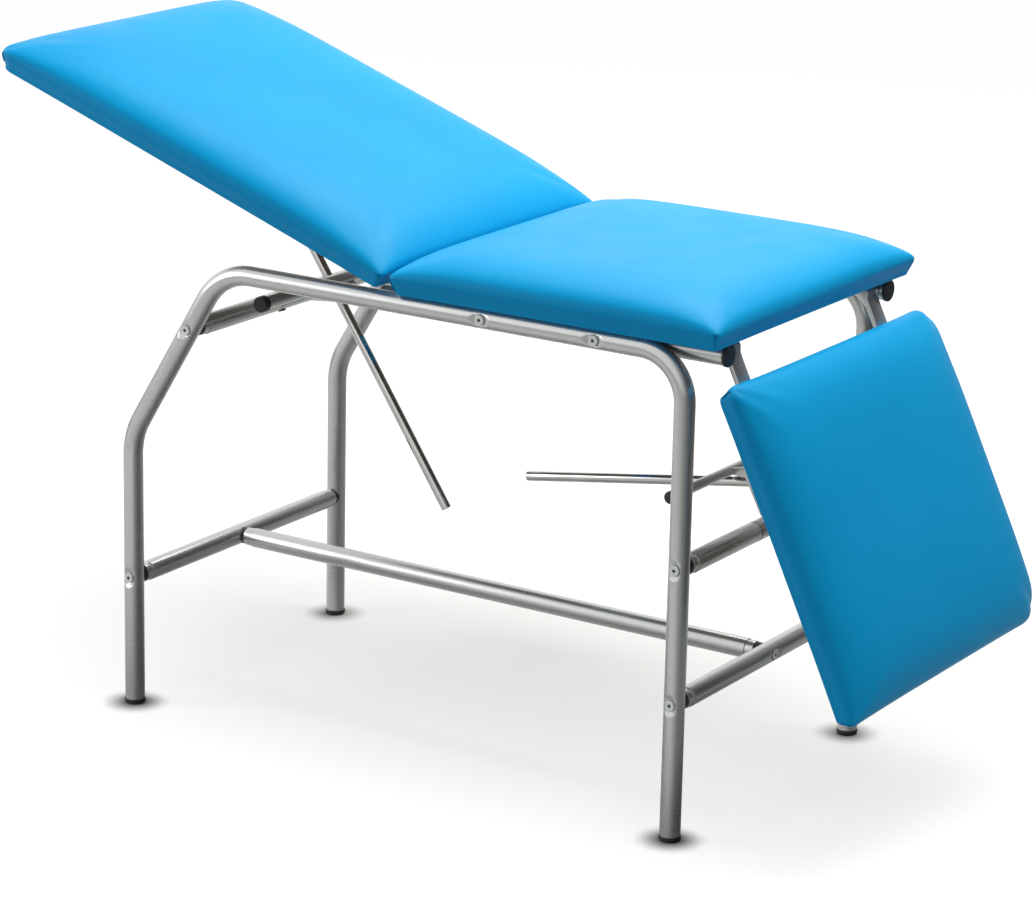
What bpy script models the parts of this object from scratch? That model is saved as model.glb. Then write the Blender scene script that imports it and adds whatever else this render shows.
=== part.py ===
import math

import bmesh
import bpy
from mathutils import Matrix, Vector

# Three-section examination couch on a bent tube frame. X runs from the head to the foot end,
# Y across, Z up, origin on the floor under the middle. All lengths in metres.

# Clearances: touching pieces, turning pins, screw shanks in their holes
FIT = 0.0003
RUN = 0.00006
HOLE_CLEAR = 0.0003
# Cutters run past the faces that they cut by this much
OVER = 0.004
# Sides of tubes, of pins and of screws
TUBE_SIDES = 16
PIN_SIDES = 16
SCREW_SIDES = 8

# Side frames: one bent tube on each side
TUBE_D = 0.032
TUBE_WALL = 0.002
FRAME_WIDTH = 0.5624
LEG_SPACING = 1.017
FOOT_LEG_X = 0.4755
RAIL_Z = 0.7503
KINK_Z = 0.4552
LEAN = math.radians(31.2)
KINK_BEND_R = 0.12
HEAD_BEND_R = 0.10
FOOT_BEND_R = 0.075
BEND_STEP = math.radians(13.0)
PLUG_H = 0.008
PLUG_D = 0.0345
PLUG_DEPTH = 0.020
PLUG_BEVEL = 0.001

# Cross tubes, their turned-down collars and the black saddles on the legs
CROSS_D = 0.032
COLLAR_D = 0.029
COLLAR_L = 0.014
CROSS_WALL = 0.002
END_WALL = 0.005
SADDLE_T = 0.003
SADDLE_D = 0.026
LOW_Z = 0.2165
MID_Z = 0.4263
UPPER_Z = 0.6483

# Screws
SHANK_D = 0.006
HEAD_D = 0.0165
HEAD_H = 0.0022
HEAD_SEAT = 0.0016
SCREW_GRIP = 0.009
SOCKET_D = 0.0045
SOCKET_DEPTH = 0.0014
RAIL_SCREW_FROM_LEG = (0.3488, 0.1501)

# Seat tubes beside the rails
SEAT_TUBE_D = 0.032
SEAT_TUBE_L = 0.6008
SEAT_TUBE_PAST_LEG = 0.0483
CAP_T = 0.005
CAP_D = 0.0345
CAP_DEPTH = 0.008

# Pads
PAD_WIDTH = 0.623
PAD_EDGE = 0.0225
PAD_CROWN = 0.056
PAD_TUCK = 0.011
PAD_HEM = 0.0225
PAD_HEM_LIFT = 0.0014
PAD_DRAW = 0.004
PAD_CORNER_R = 0.014
BOARD_T = 0.012
BOARD_INSET = 0.032

# Seat section
SEAT_PAD_START = 0.0085
SEAT_PAD_LENGTH = 0.578

# Back section: hinge between the pads, raised in the rest pose
BACK_HINGE_INSET = 0.035
BACK_HINGE_RISE = 0.0065
BACK_ANGLE = math.radians(19.0)
BACK_PAD_START = 0.0050
BACK_PAD_LENGTH = 0.796
HINGE_EYE_D = 0.014
HINGE_PIN_D = 0.007
LUG_T = 0.005
LUG_SINK = 0.0015
STRAP_W = 0.034
STRAP_T = 0.008
CROSS_STRAP_T = 0.006
BACK_STRAP_L = 0.640
CLEVIS_T = 0.005
BACK_CLEVIS_X = 0.473
CLEVIS_DROP = 0.020

# Leg section: hangs from the ends of the seat tubes in the rest pose
LEG_HINGE_INSET = 0.0153
LEG_ANGLE = math.radians(64.3)
LEG_PAD_START = 0.0475
LEG_PAD_LENGTH = 0.5215
LEG_PAD_CROWN = 0.0482
LEG_BOARD_DROP = 0.010
LEG_EYE_D = 0.022
LEG_PIN_D = 0.010
LEG_STRAP_L = 0.470
LEG_CLEVIS_X = 0.256

# Support rods with their clamps and release bars
ROD_D = 0.016
ROD_WALL = 0.0015
ROD_EYE_D = 0.020
ROD_PIN_D = 0.008
PIN_END = 0.002
HEAD_ROD_L = 0.672
FOOT_ROD_L = 0.5745
AXLE_D = 0.022
AXLE_BORE_D = 0.017
HEAD_SLEEVE_L = 0.116
FOOT_SLEEVE_L = 0.120
HEAD_ROD_OFFSET = 0.0755
FOOT_ROD_OFFSET = 0.0636
CHEEK_T = 0.004
CHEEK_CLEAR = 0.0008
CHEEK_SINK = 0.0025
LEVER_PIN_D = 0.008
LEVER_EYE_D = 0.018
BAR_WALL = 0.0015
HEAD_BAR_D = 0.022
HEAD_BAR_L = 0.444
HEAD_BAR_CLEAR = 0.0055
HEAD_BAR_ALONG = 0.018
HEAD_LEVER_SIDE = -1
FOOT_BAR_D = 0.016
FOOT_BAR_L = 0.382
FOOT_BAR_CLEAR = 0.0042
FOOT_BAR_ALONG = 0.059
FOOT_LEVER_SIDE = 1
LEVER_LENGTH = 0.032
FERRULE_L = 0.014
FERRULE_WALL = 0.0015
FERRULE_END = 0.0025

# Sizes that follow from the above
TUBE_R = TUBE_D / 2
CROSS_R = CROSS_D / 2
HALF_W = FRAME_WIDTH / 2
HEAD_LEG_X = FOOT_LEG_X - LEG_SPACING
UPPER_X = HEAD_LEG_X + (UPPER_Z - KINK_Z) * math.tan(LEAN)
SEAT_TUBE_FOOT_X = FOOT_LEG_X + SEAT_TUBE_PAST_LEG
SEAT_TUBE_HEAD_X = SEAT_TUBE_FOOT_X - SEAT_TUBE_L
BACK_HINGE_X = SEAT_TUBE_HEAD_X + BACK_HINGE_INSET
LEG_HINGE_X = SEAT_TUBE_FOOT_X - LEG_HINGE_INSET
RAIL_SCREW_X = [FOOT_LEG_X - reach for reach in RAIL_SCREW_FROM_LEG]
SEAT_TUBE_Y = HALF_W - TUBE_R - FIT - SEAT_TUBE_D / 2
SHANK_R = SHANK_D / 2
HOLE_R = SHANK_R + HOLE_CLEAR
BOARD_Z = RAIL_Z + max(TUBE_R, SEAT_TUBE_D / 2) + FIT
SADDLE_BASE = TUBE_R + FIT + SADDLE_T
CROSS_L = 2 * (HALF_W - SADDLE_BASE - FIT)
STRETCHER_L = LEG_SPACING - 2 * (CROSS_R + FIT + SADDLE_T + FIT)
SEAT_PAD_X = BACK_HINGE_X + SEAT_PAD_START + SEAT_PAD_LENGTH / 2
LUG_Y = SEAT_TUBE_Y - SEAT_TUBE_D / 2 - LUG_T / 2 + LUG_SINK
BACK_EYE_Y = LUG_Y - LUG_T / 2 - FIT
LEG_EYE_Y = SEAT_TUBE_Y - max(SEAT_TUBE_D, CAP_D) / 2 - FIT
LEG_PIN_REACH = SEAT_TUBE_Y - SEAT_TUBE_D / 2 - LEG_EYE_Y + TUBE_WALL * 2.5
LEG_BOARD_Z = BOARD_Z - RAIL_Z - LEG_BOARD_DROP
CHEEK_Y = ROD_D / 2 + CHEEK_CLEAR
LEVER_Y = CHEEK_Y + CHEEK_T + FIT
CLEVIS_Y = ROD_D / 2 + FIT

for old in list(bpy.data.objects):
    bpy.data.objects.remove(old, do_unlink=True)


def material(name, color, roughness, metallic):
    mat = bpy.data.materials.new(name)
    mat.use_nodes = True
    shader = mat.node_tree.nodes["Principled BSDF"]
    shader.inputs["Base Color"].default_value = (*color, 1.0)
    shader.inputs["Roughness"].default_value = roughness
    shader.inputs["Metallic"].default_value = metallic
    mat.diffuse_color = (*color, 1.0)
    return mat


PAINT = ((0.45, 0.46, 0.46), 0.38, 0.6)
CHROME = ((0.75, 0.74, 0.72), 0.08, 1.0)
ZINC = ((0.72, 0.74, 0.73), 0.3, 0.9)
BLACK = ((0.012, 0.012, 0.013), 0.45, 0.0)
VINYL = ((0.0, 0.32, 0.78), 0.42, 0.0)
PLY = ((0.55, 0.38, 0.22), 0.6, 0.0)


def empty(name, location, angle, parent=None):
    pivot = bpy.data.objects.new(name, None)
    bpy.context.scene.collection.objects.link(pivot)
    pivot.location = location
    pivot.rotation_euler = (0.0, angle, 0.0)
    pivot.parent = parent
    return pivot


def add(name, bm, look, location=(0.0, 0.0, 0.0), angle=0.0, parent=None, smooth=True):
    bmesh.ops.recalc_face_normals(bm, faces=bm.faces)
    mesh = bpy.data.meshes.new(name)
    bm.to_mesh(mesh)
    bm.free()
    obj = bpy.data.objects.new(name, mesh)
    bpy.context.scene.collection.objects.link(obj)
    if look is not None:
        mesh.materials.append(material(name, *look))
    if smooth:
        mesh.shade_smooth()
        mesh.set_sharp_from_angle(angle=math.radians(32))
    obj.location = location
    obj.rotation_euler = (0.0, angle, 0.0)
    obj.parent = parent
    return obj


def tool(name, bm, location=(0.0, 0.0, 0.0), angle=0.0, parent=None):
    obj = add(name, bm, None, location, angle, parent, smooth=False)
    obj.hide_render = True
    obj.display_type = "WIRE"
    return obj


def combine(target, other, operation):
    mod = target.modifiers.new(operation.lower(), "BOOLEAN")
    mod.operation = operation
    mod.solver = "EXACT"
    mod.object = other


def frame_for(axis):
    # third column is the turning axis
    if axis == "Y":
        return Matrix(((1, 0, 0), (0, 0, 1), (0, -1, 0)))
    if axis == "X":
        return Matrix(((0, 0, 1), (0, 1, 0), (-1, 0, 0)))
    return Matrix.Identity(3)


def turned(profile, segments, axis="Y", bm=None, at=(0.0, 0.0, 0.0)):
    # profile: (distance along the axis, radius) pairs, closed unless it starts and ends on the axis
    bm = bm or bmesh.new()
    basis = frame_for(axis)
    base = Vector(at)
    rings = []
    for along, radius in profile:
        if radius <= 0.0:
            rings.append([bm.verts.new(base + basis @ Vector((0, 0, along)))])
            continue
        ring = []
        for i in range(segments):
            turn = 2 * math.pi * (i + 0.5) / segments
            point = Vector((radius * math.cos(turn), radius * math.sin(turn), along))
            ring.append(bm.verts.new(base + basis @ point))
        rings.append(ring)
    closed = profile[0][1] > 0.0
    last = len(rings) if closed else len(rings) - 1
    for k in range(last):
        a, b = rings[k], rings[(k + 1) % len(rings)]
        for i in range(segments):
            j = (i + 1) % segments
            if len(a) == 1:
                bm.faces.new((a[0], b[i], b[j]))
            elif len(b) == 1:
                bm.faces.new((a[i], b[0], a[j]))
            else:
                bm.faces.new((a[i], b[i], b[j], a[j]))
    return bm


def rod_profile(low, high, radius):
    return [(low, 0.0), (low, radius), (high, radius), (high, 0.0)]


def pipe_profile(low, high, radius, bore):
    return [(low, bore), (low, radius), (high, radius), (high, bore)]


def bore_radius(pin_d, segments):
    # flats of the faceted hole stay clear of the corners of the faceted pin
    return (pin_d / 2 + RUN) / math.cos(math.pi / segments)


def plate(outline, low, high, bm=None):
    # outline: (x, z) points, extruded across Y
    bm = bm or bmesh.new()
    front = [bm.verts.new((x, low, z)) for x, z in outline]
    face = bm.faces.new(front)
    grown = bmesh.ops.extrude_face_region(bm, geom=[face])
    moved = [g for g in grown["geom"] if isinstance(g, bmesh.types.BMVert)]
    bmesh.ops.translate(bm, verts=moved, vec=(0.0, high - low, 0.0))
    return bm


def arc(cx, cz, radius, start, end, steps):
    points = []
    for i in range(steps + 1):
        turn = math.radians(start + (end - start) * i / steps)
        points.append((cx + radius * math.cos(turn), cz + radius * math.sin(turn)))
    return points


def bent_path(corners, radii, step):
    # corners in X and Z, each inner corner rounded by its radius
    path = [Vector(corners[0])]
    for k in range(1, len(corners) - 1):
        before = (Vector(corners[k]) - Vector(corners[k - 1])).normalized()
        after = (Vector(corners[k + 1]) - Vector(corners[k])).normalized()
        angle = before.angle(after)
        reach = radii[k - 1] * math.tan(angle / 2)
        start = Vector(corners[k]) - before * reach
        side = Vector((-before.y, before.x))
        if side.dot(after) < 0:
            side = -side
        centre = start + side * radii[k - 1]
        count = max(2, round(angle / step))
        for i in range(count + 1):
            a = angle * i / count
            path.append(centre - side * radii[k - 1] * math.cos(a) + before * radii[k - 1] * math.sin(a))
    path.append(Vector(corners[-1]))
    return path


def bent_tube(path, radius, bore, segments):
    bm = bmesh.new()
    sets = []
    for size in (radius, bore):
        rings = []
        for k, point in enumerate(path):
            ahead = path[min(k + 1, len(path) - 1)] - point
            behind = point - path[max(k - 1, 0)]
            run = (ahead.normalized() + behind.normalized()).normalized()
            side = Vector((-run.y, run.x))
            ring = []
            for i in range(segments):
                turn = 2 * math.pi * (i + 0.5) / segments
                offset = side * (size * math.cos(turn))
                ring.append(bm.verts.new((point.x + offset.x, size * math.sin(turn), point.y + offset.y)))
            rings.append(ring)
        for a, b in zip(rings, rings[1:]):
            for i in range(segments):
                j = (i + 1) % segments
                bm.faces.new((a[i], a[j], b[j], b[i]))
        sets.append(rings)
    for end in (0, -1):
        outer, inner = sets[0][end], sets[1][end]
        for i in range(segments):
            j = (i + 1) % segments
            bm.faces.new((outer[i], outer[j], inner[j], inner[i]))
    return bm


def screw_hole(bm, x, z, outward, inner, axis="Y", radius=TUBE_R):
    # straight hole with a shallow flat seat for the head on the outer side
    sign = 1 if outward > 0 else -1
    seat = sign * (radius - HEAD_SEAT)
    out = sign * (radius + OVER)
    seat_r = HEAD_D / 2 + HOLE_CLEAR
    profile = [(inner, 0.0), (inner, HOLE_R), (seat, HOLE_R), (seat, seat_r), (out, seat_r), (out, 0.0)]
    place = (x, 0.0, z) if axis == "Y" else (0.0, 0.0, 0.0)
    return turned(profile, SCREW_SIDES, axis, bm, place)


def screw(name, location, axis, sign, tip, radius):
    # head with a socket in its outer face, shank towards the middle of the couch
    r = HEAD_D / 2
    foot = sign * (radius - HEAD_SEAT + FIT)
    top = foot + sign * HEAD_H
    floor = top - sign * SOCKET_DEPTH
    profile = [
        (tip, 0.0),
        (tip, SHANK_R),
        (foot, SHANK_R),
        (foot, r),
        (foot + sign * HEAD_H * 0.7, r),
        (top, r - HEAD_H * 0.3),
        (top, SOCKET_D / 2),
        (floor, SOCKET_D / 2),
        (floor, 0.0),
    ]
    return add(name, turned(profile, SCREW_SIDES, axis), ZINC, location)


def saddle(name, location, angle, turn, carrier_r):
    # round pad whose outer face is hollowed to lie on a tube; local +Y points at that tube
    bm = bmesh.new()
    segments = 12
    hug = carrier_r + FIT
    back = -(hug + SADDLE_T)
    hole, rim = HOLE_R + FIT, SADDLE_D / 2
    radii = [hole, (hole + rim) / 2, rim]
    face = []
    flat = []
    for radius in radii:
        ring = []
        for i in range(segments):
            a = 2 * math.pi * (i + 0.5) / segments
            x, z = radius * math.cos(a), radius * math.sin(a)
            ring.append(bm.verts.new((x, -math.sqrt(hug * hug - x * x), z)))
        face.append(ring)
    for radius in (radii[0], radii[-1]):
        ring = []
        for i in range(segments):
            a = 2 * math.pi * (i + 0.5) / segments
            ring.append(bm.verts.new((radius * math.cos(a), back, radius * math.sin(a))))
        flat.append(ring)
    order = [flat[0]] + face + [flat[1]]
    for k in range(len(order)):
        a, b = order[k], order[(k + 1) % len(order)]
        for i in range(segments):
            j = (i + 1) % segments
            # each quad is split along the diagonal that cuts less deep into the hollow
            if abs(a[i].co.x - b[j].co.x) < abs(b[i].co.x - a[j].co.x):
                bm.faces.new((a[i], b[i], b[j]))
                bm.faces.new((a[i], b[j], a[j]))
            else:
                bm.faces.new((a[i], b[i], a[j]))
                bm.faces.new((b[i], b[j], a[j]))
    obj = add(name, bm, BLACK, location)
    obj.rotation_euler = (0.0, angle, turn)
    return obj


def cross_profile(length, sleeve):
    half = length / 2
    collar, bore = COLLAR_D / 2, COLLAR_D / 2 - CROSS_WALL
    outer = [(-half, HOLE_R), (-half, collar), (-half + COLLAR_L, collar), (-half + COLLAR_L, CROSS_R)]
    inner = [(half - END_WALL, HOLE_R), (half - END_WALL, bore)]
    if sleeve:
        mid = sleeve / 2 + FIT
        step = mid + CROSS_WALL
        outer += [(-mid, CROSS_R), (-mid, AXLE_D / 2), (mid, AXLE_D / 2), (mid, CROSS_R)]
        inner += [(step, bore), (step, AXLE_BORE_D / 2), (-step, AXLE_BORE_D / 2), (-step, bore)]
    outer += [(half - COLLAR_L, CROSS_R), (half - COLLAR_L, collar), (half, collar), (half, HOLE_R)]
    inner += [(-half + END_WALL, bore), (-half + END_WALL, HOLE_R)]
    return outer + inner


def cushion(name, length, rise, location, parent):
    # crowned top, sides drawn in towards the board, corners pulled tight, a recess below for the board
    half_l, half_w = length / 2, PAD_WIDTH / 2
    per_side = (10, 9)

    def outline(inset, draw):
        # points round the rectangle, with rounded corners and sides pulled in a little between them
        hl, hw = half_l - inset, half_w - inset
        r = max(PAD_CORNER_R * 0.4, PAD_CORNER_R - inset * 0.2)
        points = []
        corners = [(hl, hw, 0), (-hl, hw, 90), (-hl, -hw, 180), (hl, -hw, 270)]
        for k, (cx, cy, start) in enumerate(corners):
            sx, sy = math.copysign(1, cx), math.copysign(1, cy)
            for i in range(3):
                a = math.radians(start + 45 * i)
                points.append((cx - sx * r + r * math.cos(a), cy - sy * r + r * math.sin(a)))
            count = per_side[k % 2]
            nx, ny = corners[(k + 1) % 4][:2]
            a = math.radians(start + 90)
            ex, ey = cx - sx * r + r * math.cos(a), cy - sy * r + r * math.sin(a)
            mx, my = math.copysign(1, nx), math.copysign(1, ny)
            fx, fy = nx - mx * r + r * math.cos(a), ny - my * r + r * math.sin(a)
            for i in range(1, count):
                t = i / count
                pull = draw * math.sin(math.pi * t) ** 0.7
                px, py = ex + (fx - ex) * t, ey + (fy - ey) * t
                points.append((px - pull * math.cos(a), py - pull * math.sin(a)))
        return points

    def crown(x, y):
        u = max(0.0, 1 - (abs(x) / half_l) ** 4.0)
        v = max(0.0, 1 - (abs(y) / half_w) ** 4.6)
        return PAD_EDGE + rise * math.sqrt(u * v)

    bm = bmesh.new()
    rings = []
    recess = BOARD_T + FIT
    pocket = BOARD_INSET - FIT
    rings.append([bm.verts.new((x, y, recess)) for x, y in outline(pocket, 0.0)])
    rings.append([bm.verts.new((x, y, 0.0)) for x, y in outline(pocket, 0.0)])
    rings.append([bm.verts.new((x, y, 0.0)) for x, y in outline(PAD_HEM, 0.0)])
    hem = PAD_HEM - PAD_HEM_LIFT
    rings.append([bm.verts.new((x, y, PAD_HEM_LIFT)) for x, y in outline(hem, 0.0)])
    rings.append([bm.verts.new((x, y, PAD_HEM_LIFT)) for x, y in outline(PAD_TUCK, PAD_DRAW)])
    rings.append([bm.verts.new((x, y, PAD_EDGE * 0.45)) for x, y in outline(PAD_TUCK * 0.42, PAD_DRAW)])
    rings.append([bm.verts.new((x, y, PAD_EDGE * 0.85)) for x, y in outline(0.0, PAD_DRAW)])
    for share in (0.010, 0.036, 0.08, 0.15, 0.26, 0.42, 0.62, 0.82):
        points = outline(share * min(half_l, half_w), PAD_DRAW * (1 - share))
        rings.append([bm.verts.new((x, y, crown(x, y))) for x, y in points])
    bm.faces.new(rings[0])
    for a, b in zip(rings, rings[1:]):
        for i in range(len(a)):
            j = (i + 1) % len(a)
            bm.faces.new((a[i], a[j], b[j], b[i]))
    bm.faces.new(rings[-1])
    return add(name, bm, VINYL, location, 0.0, parent)


def board(name, length, location, parent):
    hl, hw = length / 2 - BOARD_INSET, PAD_WIDTH / 2 - BOARD_INSET
    r = max(PAD_CORNER_R * 0.4, PAD_CORNER_R - BOARD_INSET * 0.2)
    bm = bmesh.new()
    rows = []
    for z in (0.0, BOARD_T):
        row = []
        for cx, cy, start in ((hl, hw, 0), (-hl, hw, 90), (-hl, -hw, 180), (hl, -hw, 270)):
            sx, sy = math.copysign(1, cx), math.copysign(1, cy)
            for i in range(3):
                a = math.radians(start + 45 * i)
                px, py = cx - sx * r + r * math.cos(a), cy - sy * r + r * math.sin(a)
                row.append(bm.verts.new((px, py, z)))
        rows.append(row)
    bm.faces.new(rows[0])
    bm.faces.new(rows[1])
    for i in range(len(rows[0])):
        j = (i + 1) % len(rows[0])
        bm.faces.new((rows[0][i], rows[0][j], rows[1][j], rows[1][i]))
    return add(name, bm, PLY, location, 0.0, parent, smooth=False)


def plug(name, location, axis, sign, flange, bore, head_d, depth):
    # flange from 0 outwards, spigot inwards
    r = bore * math.cos(math.pi / TUBE_SIDES) - FIT
    rim = head_d / 2
    profile = [
        (sign * flange, 0.0),
        (sign * flange, rim - PLUG_BEVEL),
        (sign * (flange - PLUG_BEVEL), rim),
        (0.0, rim),
        (0.0, r),
        (-sign * depth, r),
        (-sign * depth, 0.0),
    ]
    return add(name, turned(profile, TUBE_SIDES, axis), BLACK, location)


SIDES = (("near", -1), ("far", 1))

# Side frames with their screw holes
frame_corners = [
    (HEAD_LEG_X, PLUG_H + FIT),
    (HEAD_LEG_X, KINK_Z),
    (HEAD_LEG_X + (RAIL_Z - KINK_Z) * math.tan(LEAN), RAIL_Z),
    (FOOT_LEG_X, RAIL_Z),
    (FOOT_LEG_X, PLUG_H + FIT),
]
frame_path = bent_path(frame_corners, (KINK_BEND_R, HEAD_BEND_R, FOOT_BEND_R), BEND_STEP)
leg_joints = (
    ("head_low", HEAD_LEG_X, LOW_Z, 0.0),
    ("head_upper", UPPER_X, UPPER_Z, LEAN),
    ("foot_mid", FOOT_LEG_X, MID_Z, 0.0),
    ("foot_low", FOOT_LEG_X, LOW_Z, 0.0),
)
for side, sign in SIDES:
    tube = bent_tube(frame_path, TUBE_R, TUBE_R - TUBE_WALL, TUBE_SIDES)
    frame = add(f"side_frame_{side}", tube, PAINT, (0.0, sign * HALF_W, 0.0))
    holes = bmesh.new()
    for label, x, z, lean in leg_joints:
        screw_hole(holes, x, z, sign, -sign * (TUBE_R + OVER))
    for x in RAIL_SCREW_X:
        screw_hole(holes, x, RAIL_Z, sign, -sign * (TUBE_R + OVER))
    combine(frame, tool(f"side_frame_{side}_holes", holes, (0.0, sign * HALF_W, 0.0)), "DIFFERENCE")
    for end, x in (("head", HEAD_LEG_X), ("foot", FOOT_LEG_X)):
        spot = (x, sign * HALF_W, PLUG_H)
        plug(f"foot_plug_{end}_{side}", spot, "Z", -1, PLUG_H, TUBE_R - TUBE_WALL, PLUG_D, PLUG_DEPTH)
    for label, x, z, lean in leg_joints:
        tip = -sign * (SADDLE_BASE + FIT + SCREW_GRIP)
        spot = (x, sign * HALF_W, z)
        screw(f"screw_{label}_{side}", spot, "Y", sign, tip, TUBE_R)
        saddle(f"saddle_{label}_{side}", spot, sign * lean, 0.0 if sign > 0 else math.pi, TUBE_R)

# Cross tubes: the low ones take the stretcher's bolts, the other two carry a swivel sleeve
for end, x, outward in (("head", HEAD_LEG_X, -1), ("foot", FOOT_LEG_X, 1)):
    low = add(f"cross_low_{end}", turned(cross_profile(CROSS_L, 0.0), TUBE_SIDES), PAINT, (x, 0.0, LOW_Z))
    hole = screw_hole(bmesh.new(), 0.0, 0.0, outward, -outward * (CROSS_R + OVER), "X", CROSS_R)
    combine(low, tool(f"cross_low_{end}_hole", hole, (x, 0.0, LOW_Z)), "DIFFERENCE")
    grip = CROSS_R + FIT + SADDLE_T + FIT + SCREW_GRIP
    screw(f"bolt_stretcher_{end}", (x, 0.0, LOW_Z), "X", outward, -outward * grip, CROSS_R)
    saddle(f"saddle_stretcher_{end}", (x, 0.0, LOW_Z), math.pi / 2, -outward * math.pi / 2, CROSS_R)
stretcher_x = (HEAD_LEG_X + FOOT_LEG_X) / 2
stretcher = turned(cross_profile(STRETCHER_L, 0.0), TUBE_SIDES, "X")
add("stretcher", stretcher, PAINT, (stretcher_x, 0.0, LOW_Z))
upper = turned(cross_profile(CROSS_L, HEAD_SLEEVE_L), TUBE_SIDES)
add("cross_upper_head", upper, PAINT, (UPPER_X, 0.0, UPPER_Z))
middle = turned(cross_profile(CROSS_L, FOOT_SLEEVE_L), TUBE_SIDES)
add("cross_mid_foot", middle, PAINT, (FOOT_LEG_X, 0.0, MID_Z))

# Seat tubes, screwed to the rails, with the back hinge's lugs and the leg hinge's holes
hinge_z = BOARD_Z + BACK_HINGE_RISE
for side, sign in SIDES:
    spot = (SEAT_TUBE_HEAD_X, sign * SEAT_TUBE_Y, RAIL_Z)
    seat_r = SEAT_TUBE_D / 2
    tube = turned(pipe_profile(0.0, SEAT_TUBE_L, seat_r, seat_r - TUBE_WALL), TUBE_SIDES, "X")
    seat_tube = add(f"seat_tube_{side}", tube, PAINT, spot)
    hx, hz = BACK_HINGE_X - SEAT_TUBE_HEAD_X, hinge_z - RAIL_Z
    outline = arc(hx, hz, HINGE_EYE_D / 2, 0.0, 180.0, 8)
    outline += [(hx - HINGE_EYE_D, -OVER), (hx + HINGE_EYE_D, -OVER)]
    lug_in = sign * (LUG_Y - SEAT_TUBE_Y)
    lug = plate(outline, lug_in - LUG_T / 2, lug_in + LUG_T / 2)
    combine(seat_tube, tool(f"seat_tube_{side}_lug", lug, spot), "UNION")
    holes = bmesh.new()
    for x in RAIL_SCREW_X:
        place = (x - SEAT_TUBE_HEAD_X, 0.0, 0.0)
        through = rod_profile(sign * (seat_r - TUBE_WALL * 3), sign * (seat_r + OVER), HOLE_R)
        turned(through, SCREW_SIDES, "Y", holes, place)
    pin_r = bore_radius(HINGE_PIN_D, PIN_SIDES)
    lug_pin = rod_profile(lug_in - LUG_T, lug_in + LUG_T * 0.9, pin_r)
    turned(lug_pin, PIN_SIDES, "Y", holes, (hx, 0.0, hz))
    pin_r = bore_radius(LEG_PIN_D, PIN_SIDES)
    leg_pin = rod_profile(-sign * (seat_r + OVER), -sign * (seat_r - TUBE_WALL * 3), pin_r)
    turned(leg_pin, PIN_SIDES, "Y", holes, (LEG_HINGE_X - SEAT_TUBE_HEAD_X, 0.0, 0.0))
    combine(seat_tube, tool(f"seat_tube_{side}_holes", holes, spot), "DIFFERENCE")
    cap_at = (SEAT_TUBE_FOOT_X + FIT, sign * SEAT_TUBE_Y, RAIL_Z)
    plug(f"seat_cap_{side}", cap_at, "X", 1, CAP_T, seat_r - TUBE_WALL, CAP_D, CAP_DEPTH)
    for k, x in enumerate(RAIL_SCREW_X):
        tip = -sign * (TUBE_R + FIT + TUBE_WALL + SCREW_GRIP)
        screw(f"screw_rail_{k + 1}_{side}", (x, sign * HALF_W, RAIL_Z), "Y", sign, tip, TUBE_R)

# Seat pad on its board
seat_at = (SEAT_PAD_X, 0.0, BOARD_Z)
board("seat_board", SEAT_PAD_LENGTH, seat_at, None)
cushion("seat_pad", SEAT_PAD_LENGTH, PAD_CROWN, seat_at, None)


def section_frame(name, pivot, eye_y, eye_d, pin_d, pin_reach, strap_l, drop, toward, clevis_x):
    # two straps under the board, each with a hinge eye and pin, a cross strap and a clevis for the rod
    r = eye_d / 2
    top = drop - FIT
    bottom = top - STRAP_T
    body = None
    for sign in (-1, 1):
        if toward > 0:
            outline = arc(0.0, 0.0, r, 90.0, 270.0, 8)
            if bottom > -r:
                outline += [(r * 0.6, -r * 0.8), (r * 1.8, bottom)]
            outline += [(strap_l, bottom), (strap_l, top)]
            if top > 0:
                outline += [(r * 1.8, top), (r * 0.8, max(r * 0.6, top))]
            else:
                outline += [(r, top), (r, r * 0.2)]
        else:
            outline = arc(0.0, 0.0, r, 90.0, -90.0, 8)
            outline += [(-r * 0.6, min(-r * 0.8, bottom)), (-r * 1.6, bottom)]
            outline += [(-strap_l, bottom), (-strap_l, top), (-r, top), (-r, r * 0.2)]
        low, high = sorted((sign * eye_y, sign * (eye_y - STRAP_W)))
        part = plate(outline, low, high)
        if body is None:
            body = add(name, part, PAINT, parent=pivot)
        else:
            combine(body, tool(f"{name}_strap", part, parent=pivot), "UNION")
        span = rod_profile(sign * (eye_y - STRAP_W / 2), sign * (eye_y + pin_reach), pin_d / 2)
        pin = turned(span, PIN_SIDES, "Y")
        combine(body, tool(f"{name}_pin_{sign}", pin, parent=pivot), "UNION")
    inner = eye_y - STRAP_W + OVER
    x = toward * clevis_x
    edge = STRAP_W / 2
    low, high = bottom + (STRAP_T - CROSS_STRAP_T) / 2, top - (STRAP_T - CROSS_STRAP_T) / 2
    outline = [(x - edge, low), (x + edge, low), (x + edge, high), (x - edge, high)]
    combine(body, tool(f"{name}_cross", plate(outline, -inner, inner), parent=pivot), "UNION")
    pin_z = bottom - CLEVIS_DROP
    ear_r = ROD_EYE_D / 2
    for sign in (-1, 1):
        root = bottom + STRAP_T / 2
        ear = arc(x, pin_z, ear_r, 180.0, 360.0, 8) + [(x + ear_r, root), (x - ear_r, root)]
        low, high = sorted((sign * CLEVIS_Y, sign * (CLEVIS_Y + CLEVIS_T)))
        combine(body, tool(f"{name}_ear_{sign}", plate(ear, low, high), parent=pivot), "UNION")
    reach = CLEVIS_Y + CLEVIS_T + OVER
    bore = rod_profile(-reach, reach, bore_radius(ROD_PIN_D, PIN_SIDES))
    bore = turned(bore, PIN_SIDES, "Y", None, (x, 0.0, pin_z))
    combine(body, tool(f"{name}_ear_bore", bore, parent=pivot), "DIFFERENCE")
    return x, pin_z


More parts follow.
